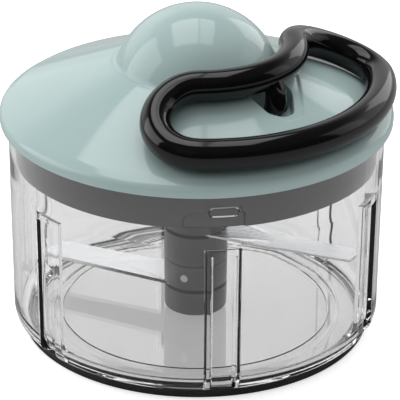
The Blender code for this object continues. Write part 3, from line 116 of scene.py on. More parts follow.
def eased(tree, value, first, last):
    """The share that a value has come from a first level to a last one, with soft ends."""
    node = add(
        tree, "ShaderNodeMapRange", {0: value},
        interpolation_type="SMOOTHSTEP", From_Min=first, From_Max=last,
    )
    return node.outputs[0]


world = bpy.data.worlds.new("studio room")
bpy.context.scene.world = world
world.use_nodes = True
room = world.node_tree
room.nodes.clear()
rays = add(room, "ShaderNodeLightPath")
place = add(room, "ShaderNodeTexCoord")
way = add(room, "ShaderNodeSeparateXYZ", {0: place.outputs["Generated"]})
to_back = eased(room, way.outputs["Y"], BACK_FROM, BACK_TO)
to_top = eased(room, way.outputs["Z"], TOP_FROM, TOP_TO)
diffuse_level = between(room, to_top, between(room, to_back, DIFFUSE_FRONT, DIFFUSE_BACK), DIFFUSE_UP)
gloss_level = between(room, to_top, between(room, to_back, GLOSS_FRONT, GLOSS_BACK), GLOSS_UP)
clear_back = between(room, rays.outputs["Glossy Depth"], CLEAR_BACK, CLEAR_MIRRORED)
clear_level = between(room, to_back, CLEAR_FRONT, clear_back)
level = between(room, rays.outputs["Is Glossy Ray"], diffuse_level, gloss_level)
level = between(room, rays.outputs["Is Transmission Ray"], level, clear_level)
level = between(room, rays.outputs["Is Camera Ray"], level, 1.0)
glow = add(room, "ShaderNodeBackground", {"Strength": level}, Color=(1, 1, 1, 1))
add(room, "ShaderNodeOutputWorld", {0: glow.outputs[0]})

# Lamps
# An overhead softbox in two panes, a large one at the left, and cards behind and at the right that
# draw the bright edges of the lid and the handle.


def softbox(name, place, size, strength, towards=(0, 0, 0.09)):
    """A rectangular area lamp at a place, aimed at a point, with this radiance."""
    data = bpy.data.lights.new(name, "AREA")
    data.shape = "RECTANGLE"
    data.size, data.size_y = size
    data.energy = strength * math.pi * size[0] * size[1]
    lamp = bpy.data.objects.new(name, data)
    bpy.context.scene.collection.objects.link(lamp)
    turn = (Vector(towards) - Vector(place)).to_track_quat("-Z", "Y").to_matrix()
    lamp.matrix_world = Matrix.Translation(place) @ turn.to_4x4()



softbox("overhead softbox left pane", (-0.275, 0.36, 1.30), (0.61, 1.05), 2.3, (-0.275, 0.36, 0))
softbox("overhead softbox right pane", (0.22, 0.36, 1.30), (0.32, 1.05), 1.9, (0.22, 0.36, 0))
softbox("left softbox", (-1.30, 0.10, 0.70), (1.1, 1.1), 1.6)
softbox("back left card", (-0.80, 1.20, 0.55), (1.0, 0.8), 0.2)
softbox("back right card", (0.90, 1.15, 0.60), (0.7, 0.8), 1.2)
softbox("right card", (1.35, 0.10, 0.60), (0.6, 0.9), 0.4)
softbox("front fill", (-0.60, -1.30, 1.00), (0.8, 0.8), 0.05)

# Table
# A white acrylic sheet that fills the view and keeps a soft shadow under the bowl. In the object's
# gloss it takes a darker grey: painted shade in its reflection, standing in for a small sheet with a dim
# room beyond it.
TABLE_SIZE = 8
TABLE_GLOW = 0.55
TABLE_GLOW_CLEAR = 0.38
TABLE_WHITE = "#f4f4f4"
# Darker grey that only glossy rays see: painted shade in the sheet's reflection
TABLE_PAINTED_REFLECTION_SHADE = "#a8a8a8"
bpy.ops.mesh.primitive_plane_add(size=TABLE_SIZE)
table = bpy.context.object
table.name = "table"
acrylic = bpy.data.materials.new("white acrylic sheet")
acrylic.use_nodes = True
tree = acrylic.node_tree
tree.nodes.clear()
rays = add(tree, "ShaderNodeLightPath")
# Picks the painted reflection shade for glossy rays and the sheet's own white for all others
white = add(tree, "ShaderNodeMix", {0: rays.outputs["Is Glossy Ray"]}, data_type="RGBA")
white.inputs[6].default_value = linear(TABLE_WHITE)
white.inputs[7].default_value = linear(TABLE_PAINTED_REFLECTION_SHADE)
lit = add(tree, "ShaderNodeBsdfDiffuse", {0: white.outputs[2]})
seen = add(tree, "ShaderNodeMath", {0: rays.outputs["Is Camera Ray"]}, operation="MULTIPLY")
seen.inputs[1].default_value = TABLE_GLOW
level = between(tree, rays.outputs["Is Transmission Ray"], seen.outputs[0], TABLE_GLOW_CLEAR)
glow = add(tree, "ShaderNodeEmission", {"Strength": level}, Color=(1, 1, 1, 1))
both = add(tree, "ShaderNodeAddShader", {0: lit.outputs[0], 1: glow.outputs[0]})
add(tree, "ShaderNodeOutputMaterial", {0: both.outputs[0]})
table.data.materials.append(acrylic)

# Bowl
# Injection moulded clear copolyester, 2.8 mm thick, with six channels pressed into its wall
# for stiffness, three lugs inside its mouth and a boss in its floor that holds the steel pin.
MM = 0.001
BOWL_RADIUS = 79.0 * MM
BOWL_FOOT_RADIUS = 78.3 * MM
BOWL_WALL = 2.8 * MM
BOWL_RIM = 95.6 * MM
BOWL_FOOT = 3.7 * MM
BOWL_CORNER = 5.2 * MM
FLOOR_UNDER = 2.0 * MM
FLOOR_TOP = 4.6 * MM
RING_SEAT = 68.7 * MM
CHANNEL_TURN = 8.3
CHANNEL_DEPTH = 2.5 * MM
CHANNEL_HALF = 4.8 * MM
BULGE_HALF = 7.2 * MM
CHANNEL_TOP = 66.2 * MM
BULGE_TOP = 68.4 * MM
CHANNEL_EASE = 1.3 * MM
LUG_HEIGHT = 85.2 * MM
LUG_HALF = 6.2 * MM
LUG_ROUND = 1.95 * MM
LUG_REACH = 1.3 * MM
WALL_DRAFT = 0.5 * MM
RIM_ROUND = 1.2 * MM
INNER_CORNER = 6.5 * MM
BEAD_IN = 57.4 * MM
BEAD_OUT = 61.4 * MM
BEAD_RISE = 0.7 * MM
BEAD_ROUND = 0.45 * MM
STEP_ROUND = 0.35 * MM
BOSS_RADIUS = 5.2 * MM
BOSS_TOP = 10.5 * MM
PIN_HOLE = 2.7 * MM
PIN_SEAT = 3.4 * MM
NEAR_AXIS = 0.4 * MM
# Half the heights of the finely divided zones at the channels' tops and at the lugs
NEAR_CHANNEL_TOP = 2.4 * MM
NEAR_LUG = 2.8 * MM


def smooth(value):
    """Cubic step: 3t^2 - 2t^3 of the value held between 0 and 1."""
    held = np.clip(value, 0, 1)
    return held * held * (3 - 2 * held)


def bend(centre, radius, first, last, count):
    """Points (r, z) on an arc about a centre, between two angles in degrees from the +r axis."""
    turn = np.radians(np.linspace(first, last, count))
    return np.stack([centre[0] + radius * np.cos(turn), centre[1] + radius * np.sin(turn)], axis=1)


def run(start, end, count):
    """Evenly spaced points (r, z) along a straight line, without its last point."""
    share = np.linspace(0, 1, count, endpoint=False)[:, None]
    return np.array(start) * (1 - share) + np.array(end) * share


def turned(radius, height, azimuth):
    """Grid of x = r sin(a), y = -r cos(a), z = h for rows of profile points and columns of azimuths."""
    turn = np.radians(azimuth)
    return np.stack([radius * np.sin(turn), -radius * np.cos(turn), height + 0 * turn], axis=-1)


def skin(name, grid, ring=False, first_pole=False, last_pole=False, crease=40):
    """A closed mesh over a grid of rows and columns whose columns wrap round.
    A ring joins its last row to its first, and a pole closes an end row with a fan."""
    rows, columns = grid.shape[:2]
    points = grid.reshape(-1, 3)
    row = np.arange(rows if ring else rows - 1)[:, None]
    column = np.arange(columns)[None, :]
    above = (row + 1) % rows
    beside = (column + 1) % columns
    corners = np.stack([
        row * columns + column, row * columns + beside, above * columns + beside, above * columns + column,
    ], axis=-1)
    faces = corners.reshape(-1, 4).tolist()
    around = np.arange(columns)
    if first_pole:
        points = np.vstack([points, grid[0].mean(0)])
        pole = np.full(columns, len(points) - 1)
        faces += np.stack([pole, (around + 1) % columns, around], axis=1).tolist()
    if last_pole:
        points = np.vstack([points, grid[-1].mean(0)])
        pole = np.full(columns, len(points) - 1)
        last = (rows - 1) * columns
        faces += np.stack([pole, last + around, last + (around + 1) % columns], axis=1).tolist()
    mesh = bpy.data.meshes.new(name)
    mesh.from_pydata(points, [], faces)
    mesh.shade_smooth()
    mesh.set_sharp_from_angle(angle=math.radians(crease))
    piece = bpy.data.objects.new(name, mesh)
    bpy.context.scene.collection.objects.link(piece)
    return piece


def channel_azimuths():
    """Azimuths with a fine step across each channel and a coarse one over the lands between."""
    across = np.degrees(np.arange(-8.4, 8.5, 0.3) * MM / BOWL_RADIUS)
    edge = across[-1]
    land = np.linspace(edge, 60 - edge, 14)[1:-1]
    one = np.concatenate([across, land]) + CHANNEL_TURN
    return np.concatenate([one + 60 * index for index in range(6)])


def off_channel(azimuth):
    """Distance in metres along the wall from the nearest channel's middle."""
    turn = (azimuth - CHANNEL_TURN + 30) % 60 - 30
    return np.radians(turn) * BOWL_RADIUS


outer_corner = (BOWL_FOOT_RADIUS - BOWL_CORNER, BOWL_FOOT + BOWL_CORNER)
outer_wall = BOWL_FOOT_RADIUS + WALL_DRAFT
outside = np.vstack([
    run((NEAR_AXIS, FLOOR_UNDER), (RING_SEAT, FLOOR_UNDER), 6),
    run((RING_SEAT, FLOOR_UNDER), (RING_SEAT, BOWL_FOOT), 2),
    run((RING_SEAT, BOWL_FOOT), (outer_corner[0], BOWL_FOOT), 4),
    bend(outer_corner, BOWL_CORNER, -90, 0, 10),
    run((BOWL_FOOT_RADIUS, outer_corner[1] + 0.5 * MM), (outer_wall, CHANNEL_TOP - NEAR_CHANNEL_TOP), 14),
    run((outer_wall, CHANNEL_TOP - NEAR_CHANNEL_TOP), (outer_wall, CHANNEL_TOP + NEAR_CHANNEL_TOP), 16),
    run((outer_wall, CHANNEL_TOP + NEAR_CHANNEL_TOP), (BOWL_RADIUS, BOWL_RIM - RIM_ROUND), 6),
    bend((BOWL_RADIUS - RIM_ROUND, BOWL_RIM - RIM_ROUND), RIM_ROUND, 0, 90, 5),
])
land_top = FLOOR_TOP + BEAD_RISE
rim_inner = BOWL_RADIUS - BOWL_WALL
inner_foot = BOWL_FOOT_RADIUS - BOWL_WALL
inner_wall = inner_foot + 0.4 * MM
inner_corner = (inner_foot - INNER_CORNER, land_top + INNER_CORNER)
boss_foot = BOSS_RADIUS + 0.7 * MM
inside = np.vstack([
    bend((rim_inner + RIM_ROUND, BOWL_RIM - RIM_ROUND), RIM_ROUND, 90, 180, 5),
    run((rim_inner, BOWL_RIM - 1.6 * MM), (rim_inner, LUG_HEIGHT + NEAR_LUG), 4),
    run((rim_inner, LUG_HEIGHT + NEAR_LUG), (rim_inner, LUG_HEIGHT - NEAR_LUG), 24),
    run((rim_inner, LUG_HEIGHT - NEAR_LUG), (inner_wall, BULGE_TOP + NEAR_CHANNEL_TOP), 4),
    run((inner_wall, BULGE_TOP + NEAR_CHANNEL_TOP), (inner_wall, BULGE_TOP - NEAR_CHANNEL_TOP), 16),
    run((inner_wall, BULGE_TOP - NEAR_CHANNEL_TOP), (inner_foot, inner_corner[1] + 0.4 * MM), 14),
    bend(inner_corner, INNER_CORNER, 0, -90, 12),
    run((inner_corner[0] - 0.3 * MM, land_top), (BEAD_OUT, land_top), 3),
    bend((BEAD_OUT, land_top - STEP_ROUND), STEP_ROUND, 90, 180, 4),
    run((BEAD_OUT - STEP_ROUND, FLOOR_TOP + 0.2 * MM), (BEAD_OUT - 0.8 * MM, FLOOR_TOP), 2),
    run((BEAD_OUT - 2 * BEAD_ROUND, FLOOR_TOP), (BEAD_IN + 2 * BEAD_ROUND, FLOOR_TOP), 3),
    bend((BEAD_IN, FLOOR_TOP), BEAD_ROUND, 0, 180, 7),
    run((BEAD_IN - 2 * BEAD_ROUND, FLOOR_TOP), (boss_foot, FLOOR_TOP), 8),
    bend((boss_foot, FLOOR_TOP + 0.7 * MM), 0.7 * MM, -90, -180, 4),
    run((BOSS_RADIUS, FLOOR_TOP + 0.9 * MM), (BOSS_RADIUS, BOSS_TOP - 0.5 * MM), 3),
    bend((BOSS_RADIUS - 0.5 * MM, BOSS_TOP - 0.5 * MM), 0.5 * MM, 0, 90, 4),
    run((BOSS_RADIUS - 0.7 * MM, BOSS_TOP), (PIN_HOLE, BOSS_TOP), 2),
    run((PIN_HOLE, BOSS_TOP), (PIN_HOLE, PIN_SEAT), 3),
    run((PIN_HOLE, PIN_SEAT), (NEAR_AXIS, PIN_SEAT), 2),
    np.array([(NEAR_AXIS, PIN_SEAT)]),
])
azimuths = channel_azimuths()
across = np.abs(off_channel(azimuths))[None, :]
edge_share = smooth((CHANNEL_HALF - across) / CHANNEL_EASE + 0.5)
bulge_share = smooth((BULGE_HALF - across) / CHANNEL_EASE + 0.5)
low_share = smooth((outside[:, 0] - (outer_corner[0] - 0.6 * MM)) / (2.4 * MM))[:, None]
top_share = smooth((CHANNEL_TOP - outside[:, 1]) / CHANNEL_EASE + 0.5)[:, None]
outer_draw = CHANNEL_DEPTH * edge_share * low_share * top_share
outer_rows = outside[:, :1] - outer_draw
floor_share = smooth((inside[:, 0] - (inner_corner[0] - 1.0 * MM)) / (4.0 * MM))[:, None]
below_share = smooth((BULGE_TOP - inside[:, 1]) / CHANNEL_EASE + 0.5)[:, None]
lug_turn = np.radians((azimuths - CHANNEL_TURN + 60) % 120 - 60) * BOWL_RADIUS
from_lug = np.hypot(
    np.maximum(np.abs(lug_turn)[None, :] - (LUG_HALF - LUG_ROUND), 0), inside[:, 1:2] - LUG_HEIGHT
)
lug_share = smooth((LUG_ROUND - from_lug) / (0.55 * MM) + 0.5) * (inside[:, :1] > rim_inner - 1 * MM)
inner_rows = inside[:, :1] - CHANNEL_DEPTH * bulge_share * below_share * floor_share - LUG_REACH * lug_share
radius = np.vstack([outer_rows, inner_rows])
height = np.vstack([outside[:, 1:2], inside[:, 1:2]])
bowl_grid = turned(radius, height, azimuths[None, :])
bowl = skin("bowl_shell", bowl_grid, first_pole=True, last_pole=True, crease=50)

# Clear copolyester: water clear, with the high gloss of a polished mould and a faint cool grey
# where the light runs a long way through it.
clear = bpy.data.materials.new("clear moulded copolyester")
clear.use_nodes = True
tree = clear.node_tree
shader = tree.nodes["Principled BSDF"]
shader.inputs["Base Color"].default_value = linear("#fbfbfb")
shader.inputs["Roughness"].default_value = 0.0
shader.inputs["IOR"].default_value = 1.5
shader.inputs["Transmission Weight"].default_value = 1.0
rays = add(tree, "ShaderNodeLightPath")
thin = add(tree, "ShaderNodeBsdfTransparent", Color=linear("#f2f2f2"))
is_shadow = rays.outputs["Is Shadow Ray"]
light_through = add(tree, "ShaderNodeMixShader", {0: is_shadow, 1: shader.outputs[0], 2: thin.outputs[0]})
tree.links.new(light_through.outputs[0], tree.nodes["Material Output"].inputs[0])
bowl.data.materials.append(clear)
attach(bowl, "base")
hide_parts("bowl")

# Non-slip ring
# Soft thermoplastic rubber, pressed on under the bowl's foot. It is matt and nearly black, with a
# fine moulded grain and rounded edges.
RING_OUTER = 74.5 * MM
RING_INNER = 69.0 * MM
RING_HEIGHT = 3.4 * MM
RING_ROUND = 0.9 * MM
even = np.linspace(0, 360, 240, endpoint=False)[None, :]


def rounded_ring(inner, outer, bottom, top, edge, steps=5):
    """Closed rectangle (r, z) with four round corners, from its inner bottom corner round the outside."""
    return np.vstack([
        bend((inner + edge, bottom + edge), edge, 180, 270, steps),
        bend((outer - edge, bottom + edge), edge, -90, 0, steps),
        bend((outer - edge, top - edge), edge, 0, 90, steps),
        bend((inner + edge, top - edge), edge, 90, 180, steps),
    ])


def lathe(name, profile, ring=True, columns=even, **ends):
    """A turned piece from a profile of (r, z) points."""
    return skin(name, turned(profile[:, :1], profile[:, 1:2], columns), ring=ring, **ends)


def plastic(name, code, roughness, grain=0.0, grain_size=0.0006, depth=0.00002, ior=1.5):
    """Moulded plastic: one pigment colour with a slight cloudiness, and a fine moulded grain
    that varies the roughness and the bump."""
    material = bpy.data.materials.new(name)
    material.use_nodes = True
    tree = material.node_tree
    shader = tree.nodes["Principled BSDF"]
    place = add(tree, "ShaderNodeTexCoord")
    cloud = add(tree, "ShaderNodeTexNoise", {"Vector": place.outputs["Object"]}, Scale=45.0, Detail=2.0)
    pigment = add(tree, "ShaderNodeMix", {0: cloud.outputs["Fac"]}, data_type="RGBA")
    base = linear(code)
    pigment.inputs[6].default_value = tuple(c * 0.97 for c in base[:3]) + (1,)
    pigment.inputs[7].default_value = tuple(min(c * 1.03, 1) for c in base[:3]) + (1,)
    tree.links.new(pigment.outputs[2], shader.inputs["Base Color"])
    fine = add(
        tree, "ShaderNodeTexNoise", {"Vector": place.outputs["Object"]}, Scale=1 / grain_size, Detail=3.0,
    )
    sheen = add(
        tree, "ShaderNodeMapRange", {0: fine.outputs["Fac"]},
        To_Min=roughness * 0.85, To_Max=roughness * 1.15,
    )
    tree.links.new(sheen.outputs[0], shader.inputs["Roughness"])
    if grain:
        bump = add(tree, "ShaderNodeBump", {"Height": fine.outputs["Fac"]}, Strength=grain, Distance=depth)
        tree.links.new(bump.outputs[0], shader.inputs["Normal"])
    shader.inputs["IOR"].default_value = ior
    return material


rubber = plastic("matt thermoplastic rubber", "#262627", 0.62, grain=0.5, grain_size=0.0005)
ring = lathe("non_slip_ring", rounded_ring(RING_INNER, RING_OUTER, 0.0, RING_HEIGHT, RING_ROUND))
ring.data.materials.append(rubber)
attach(ring, "base")
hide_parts("base_ring")

# Blade column
# Four grey mouldings stacked on a steel core, parted where the blades are clamped between them,
# with a fine grained satin finish and softened edges at each joint.
grey = plastic("satin grey moulded ABS", "#474747", 0.40, grain=0.25, grain_size=0.0004, ior=1.65)


def column_radius(height):
    """Outer radius of the column at this height, with a slight draft towards its foot."""
    return (13.4 + 0.6 * (height - 5.5 * MM) / (76.5 * MM)) * MM


# Each moulding's node, foot, top, lower edge round and upper edge round, in millimetres
COLUMN_MOULDINGS = (
    ("column_foot", 5.5, 16.2, 1.2, 0.15),
    ("column_lower", 17.8, 28.7, 0.15, 0.2),
    ("column_middle", 29.0, 41.6, 0.2, 0.15),
    ("column_upper", 43.2, 82.0, 0.15, 0.9),
)
column_sides = np.linspace(0, 360, 96, endpoint=False)[None, :]
for node, bottom, top, low_round, high_round in COLUMN_MOULDINGS:
    bottom, top, low_round, high_round = (value * MM for value in (bottom, top, low_round, high_round))
    bore = 5.5 * MM if node != "column_upper" else 5.9 * MM
    profile = np.vstack([
        np.array([(bore, bottom)]),
        bend((column_radius(bottom) - low_round, bottom + low_round), low_round, -90, 0, 5),
        bend((column_radius(top) - high_round, top - high_round), high_round, 0, 90, 5),
        np.array([(bore, top)]),
    ])
    bit = lathe(node + "_moulding", profile, columns=column_sides, crease=60)
    bit.data.materials.append(grey)
    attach(bit, "blade_unit")
    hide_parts(node)

# Blades
# Cold rolled stainless strip, one millimetre thick, brushed along its length and ground
# on its leading edge. Its tip follows the circle that it sweeps. The upper one is slightly twisted.
LINE_DEPTH = 0.000004


def steel(name, code, roughness, scale=1.0, stretch=(1, 1, 1), turn=(0, 0, 0)):
    """Bare metal with fine lines: noise drawn out along one axis drives roughness and bump."""
    material = bpy.data.materials.new(name)
    material.use_nodes = True
    tree = material.node_tree
    shader = tree.nodes["Principled BSDF"]
    shader.inputs["Base Color"].default_value = linear(code)
    shader.inputs["Metallic"].default_value = 1.0
    place = add(tree, "ShaderNodeTexCoord")
    drawn = add(
        tree, "ShaderNodeMapping", {"Vector": place.outputs["Object"]}, Rotation=turn, Scale=stretch,
    )
    lines = add(tree, "ShaderNodeTexNoise", {"Vector": drawn.outputs[0]}, Scale=scale, Detail=4.0)
    sheen = add(
        tree, "ShaderNodeMapRange", {0: lines.outputs["Fac"]},
        To_Min=roughness * 0.75, To_Max=roughness * 1.25,
    )
    tree.links.new(sheen.outputs[0], shader.inputs["Roughness"])
    bump = add(tree, "ShaderNodeBump", {"Height": lines.outputs["Fac"]}, Strength=0.3, Distance=LINE_DEPTH)
    tree.links.new(bump.outputs[0], shader.inputs["Normal"])
    return material


BLADE_THICK = 1.0 * MM
BLADE_REACH = 71.5 * MM
ROOT_HALF = 9.3 * MM
TIP_HALF = 6.9 * MM
GRIND = 1.1 * MM
EDGE_THICK = 0.12 * MM
TAIL = 10.0 * MM
TAIL_HALF = 6.5 * MM
GRIND_FROM = 9.0 * MM
TWIST_FROM = 16.0 * MM
TWIST_OVER = 8.0 * MM
LINES_ALONG, LINES_ACROSS = 60, 2600


def blade(name, node, height, bearing, twist=0.0):
    """A flat strip: its long sides taper, its tip follows the sweep circle, and on top the leading
    side is drawn in by the grind. Out from the column it can be twisted, its front side up."""
    along = np.linspace(0, BLADE_REACH * 0.992, 24)
    half = ROOT_HALF + (TIP_HALF - ROOT_HALF) * along / BLADE_REACH
    corner = math.asin(TIP_HALF / BLADE_REACH)
    turn = np.linspace(-corner, corner, 11)
    tip = np.stack([BLADE_REACH * np.cos(turn), BLADE_REACH * np.sin(turn)], axis=1)
    trailing = np.stack([along, -half], axis=1)
    leading = np.stack([along[::-1], half[::-1]], axis=1)
    tail = np.array([(-TAIL, TAIL_HALF), (-TAIL, -TAIL_HALF)])
    outline = np.vstack([tail, trailing, tip, leading])
    ground = outline.copy()
    ground_edge = half[0] + (half[-1] - half[0]) * ground[:, 0] / BLADE_REACH - GRIND
    ground[:, 1] = np.minimum(ground[:, 1], np.where(ground[:, 0] < GRIND_FROM, 1.0, ground_edge))
    layers = (
        (outline, 0.0), (outline, EDGE_THICK),
        (ground, BLADE_THICK - 0.05 * MM), (ground * 0.999, BLADE_THICK),
    )
    rows = []
    for plan, level in layers:
        twisted = smooth((plan[:, 0] - TWIST_FROM) / TWIST_OVER)
        drop = plan[:, 1] * math.tan(math.radians(twist)) * twisted
        rows.append(np.column_stack([plan, height + level - drop]))
    grid = np.stack(rows)
    angle = math.radians(bearing)
    spin = np.array([
        (math.cos(angle), math.sin(angle), 0), (-math.sin(angle), math.cos(angle), 0), (0, 0, 1),
    ])
    piece = skin(name, grid @ spin, first_pole=True, last_pole=True, crease=12)
    finish = steel(
        "brushed stainless " + name, "#c6c7c9", 0.26,
        stretch=(LINES_ALONG, LINES_ACROSS, LINES_ACROSS), turn=(0, 0, -angle),
    )
    piece.data.materials.append(finish)
    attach(piece, "blade_unit")
    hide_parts(node)


blade("lower_blade_strip", "lower_blade", 16.5 * MM, 156.5)
blade("upper_blade_strip", "upper_blade", 41.9 * MM, 337.4, twist=4.0)

# Rivet and pin
# The column's rivet and core, the bowl's pin, the shaft's bush and the cord's guide are turned
# from stainless bar and left bright from the lathe.
bright = steel("turned stainless", "#c9cacc", 0.22, scale=2400.0)
for node in ("column_rivet", "pivot_pin", "blade_spindle", "shaft_bush", "cord_guide"):
    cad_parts[node].data.materials.clear()
    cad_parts[node].data.materials.append(bright)

# Lid cover
# Glossy sage green ABS: one shell with a rolled rim, a low conical crown and a palm dome,
# and a rounded pocket beside the dome that the handle's stem drops into.
LID_RADIUS = 82.5 * MM
RIM_EDGE = 93.9 * MM
RIM_HEIGHT = 96.6 * MM
CROWN_TOP_RADIUS = 36.0 * MM
CROWN_TOP = 118.0 * MM
CROWN_FOOT_RADIUS = 80.0 * MM
DOME_RADIUS = 35.8 * MM
DOME_CENTRE = 106.2 * MM
LID_WALL = 2.4 * MM
POCKET_TURN = 46.0
POCKET_FLOOR = 107.8 * MM
POCKET_SIDES = (
    (-1.0, 0.0, -36.9), (0.0, -1.0, 8.7), (0.707, -0.707, 40.6),
    (1.0, 0.0, 53.5), (0.671, 0.742, 37.4), (0.0, 1.0, 12.0),
)
POCKET_ROLL = 1.3 * MM
SCOOP_DEPTH = 0.7 * MM
SCOOP_SIDES = (
    (-1.0, 0.0, -34.0), (0.0, -1.0, 8.9), (0.8, -0.6, 47.2),
    (1.0, 0.0, 56.6), (0.671, 0.742, 41.0), (0.0, 1.0, 24.0),
)
SCOOP_ROLL = 1.4 * MM
CROWN_DROP = 18.0 * MM
CROWN_FROM_RADIUS = 34.5 * MM
CROWN_FROM_HEIGHT = 104.0 * MM
crown_slope = CROWN_DROP / (CROWN_FOOT_RADIUS - CROWN_TOP_RADIUS)


def crown(radius):
    """Height of the lid's conical crown: 118 mm at r 36, falling 18 mm by r 80."""
    return CROWN_TOP - crown_slope * (radius - CROWN_TOP_RADIUS)


def beyond(x, y, sides, softness=1.3):
    """Signed distance outside a rounded plan: the smooth maximum of its sides' distances, each side
    given by its direction (outward, sideways from the pocket's azimuth) and its distance in mm."""
    turn = math.radians(POCKET_TURN)
    outward = (x * math.sin(turn) - y * math.cos(turn)) / MM
    sideways = (x * math.cos(turn) + y * math.sin(turn)) / MM
    distances = [outward * u + sideways * w - reach for u, w, reach in sides]
    return np.logaddexp.reduce(np.array(distances) * softness, axis=0) / softness * MM


near_pocket = np.linspace(24, 84, 150, endpoint=False)
elsewhere = np.linspace(84, 384, 150, endpoint=False)
lid_azimuths = np.concatenate([near_pocket, elsewhere])[None, :]
dome_foot = math.degrees(math.asin((CROWN_TOP + 1.4 * MM - DOME_CENTRE) / DOME_RADIUS))
dome_rows = bend((0, DOME_CENTRE), DOME_RADIUS, 89.5, dome_foot, 40)
fillet_end = np.array((dome_rows[-1][0] + 2.6 * MM, crown(dome_rows[-1][0] + 2.6 * MM)))
fillet_mid = np.array((dome_rows[-1][0] + 0.75 * MM, CROWN_TOP + 0.15 * MM))
share = np.linspace(0, 1, 8)[1:, None]
fillet_rows = (
    dome_rows[-1] * (1 - share) ** 2 + 2 * fillet_mid * share * (1 - share) + fillet_end * share ** 2
)
crown_inner = np.linspace(fillet_end[0], 58.0 * MM, 66)[1:]
crown_outer = np.linspace(58.0 * MM, CROWN_FOOT_RADIUS - 1.4 * MM, 16)[1:]
crown_radii = np.concatenate([crown_inner, crown_outer])
crown_rows = np.stack([crown_radii, crown(crown_radii)], axis=1)
rim_rows = np.vstack([
    bend((LID_RADIUS - 3.4 * MM, RIM_HEIGHT - 0.4 * MM), 3.4 * MM, 66, 0, 12),
    np.array([(LID_RADIUS - 0.05 * MM, RIM_EDGE + 1.4 * MM)]),
    bend((LID_RADIUS - 0.8 * MM, RIM_EDGE + 0.7 * MM), 0.7 * MM, 0, -90, 5),
    np.array([(LID_RADIUS - 2.6 * MM, RIM_EDGE)]),
])
inner_radii = np.linspace(79.4 * MM, 36.5 * MM, 70)
under_dome = DOME_RADIUS - LID_WALL
under_foot = math.degrees(math.asin((CROWN_TOP - 2.1 * MM - DOME_CENTRE) / under_dome))
under_rows = np.vstack([
    np.array([(79.8 * MM, RIM_EDGE + 1.5 * MM)]),
    np.stack([inner_radii, crown(inner_radii) - LID_WALL], axis=1),
    bend((0, DOME_CENTRE), under_dome, under_foot, 89.5, 24),
])
top_rows = np.vstack([dome_rows, fillet_rows, crown_rows, rim_rows])
top_grid = turned(top_rows[:, :1], top_rows[:, 1:2], lid_azimuths)
under_grid = turned(under_rows[:, :1], under_rows[:, 1:2], lid_azimuths)


def sink(grid, floor, grow):
    """Sinks a shallow scoop into the crown, and the pocket inside it down to its floor."""
    x, y, z = grid[..., 0], grid[..., 1], grid[..., 2]
    on_crown = (np.hypot(x, y) > CROWN_FROM_RADIUS) & (z > CROWN_FROM_HEIGHT)
    scooped = z - SCOOP_DEPTH * smooth(0.5 - (beyond(x, y, SCOOP_SIDES) - grow) / SCOOP_ROLL) * on_crown
    wall = smooth(-(beyond(x, y, POCKET_SIDES) - grow) / POCKET_ROLL) * on_crown
    sunk = grid.copy()
    sunk[..., 2] = scooped * (1 - wall) + np.minimum(floor, scooped) * wall
    return sunk


top_grid = sink(top_grid, POCKET_FLOOR, 0.0)
under_grid = sink(under_grid, POCKET_FLOOR - 2.0 * MM, 2.0 * MM)
cover = skin("lid_shell", np.vstack([top_grid, under_grid]), first_pole=True, last_pole=True, crease=50)
sage = plastic("glossy sage ABS", "#acc2c0", 0.08, grain=0.06, grain_size=0.004, depth=0.00002)
cover.data.materials.append(sage)
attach(cover, "lid")
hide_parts("lid_cover")

# Lid plug
# The grey part that fills the bowl's mouth: a skirt with lead-in grooves for the bowl's lugs,
# a flange that sits on the rim, and a flat deck that carries the drive.
PLUG_RADIUS = 75.7 * MM
PLUG_FOOT = 78.3 * MM
PLUG_EDGE = 0.5 * MM
GROOVE_DEPTH = 1.1 * MM
GROOVE_FROM = -3.9
GROOVE_TO = 14.6
GROOVE_EASE = 0.45
GROOVE_TOP = 84.6 * MM
SHOULDER_FOOT = 81.0 * MM
SHOULDER_TURN = 2.6
LUG_SEAT_RISE = 3.2 * MM
LUG_SEAT_HALF = 5.4
LUG_SEAT_EASE = 0.5
plug_wall = np.vstack([
    run((PLUG_RADIUS - 1.9 * MM, PLUG_FOOT), (PLUG_RADIUS - PLUG_EDGE, PLUG_FOOT), 2),
    bend((PLUG_RADIUS - PLUG_EDGE, PLUG_FOOT + PLUG_EDGE), PLUG_EDGE, -90, 0, 4),
    run((PLUG_RADIUS, PLUG_FOOT + 0.8 * MM), (PLUG_RADIUS, 88.0 * MM), 30),
    run((PLUG_RADIUS, 88.0 * MM), (PLUG_RADIUS, 95.9 * MM), 4),
])
# The flange on the rim, the skirt's inner side, the deck and its sleeve
plug_rest = np.array([
    (75.7, 95.9), (79.0, 95.9), (79.3, 96.2), (79.3, 97.1), (79.0, 97.4), (73.3, 97.4), (73.3, 86.7),
    (73.1, 86.5), (7.3, 86.5), (7.3, 84.5), (15.0, 84.5), (15.0, 80.7), (15.2, 80.5), (16.4, 80.5),
    (16.6, 80.7), (16.6, 84.5), (73.1, 84.5), (73.3, 84.3), (73.3, 78.5), (73.5, 78.3),
]) * MM
plug_rows = np.vstack([plug_wall, plug_rest])
plug_radius, plug_height = plug_rows[:, :1], plug_rows[:, 1:2]
groove_zone = np.linspace(-6, 17, 116, endpoint=False)
between_grooves = np.linspace(17, 114, 40, endpoint=False)
one_third = np.concatenate([groove_zone, between_grooves])
plug_azimuths = np.concatenate([one_third + 120 * index for index in range(3)])[None, :]
local = (plug_azimuths + 53) % 120 - 53
up_shoulder = np.clip((plug_height - SHOULDER_FOOT) / (GROOVE_TOP - SHOULDER_FOOT), 0, 1)
groove_left = GROOVE_FROM + SHOULDER_TURN * (1 - np.sqrt(np.clip(1 - up_shoulder ** 2, 0, 1)))
inside_left = smooth((local - groove_left) / GROOVE_EASE + 0.5)
inside_right = smooth((GROOVE_TO - local) / GROOVE_EASE + 0.5)
over_lug = smooth((LUG_SEAT_HALF - np.abs(local - CHANNEL_TURN)) / LUG_SEAT_EASE + 0.5)
groove_top = GROOVE_TOP + LUG_SEAT_RISE * over_lug
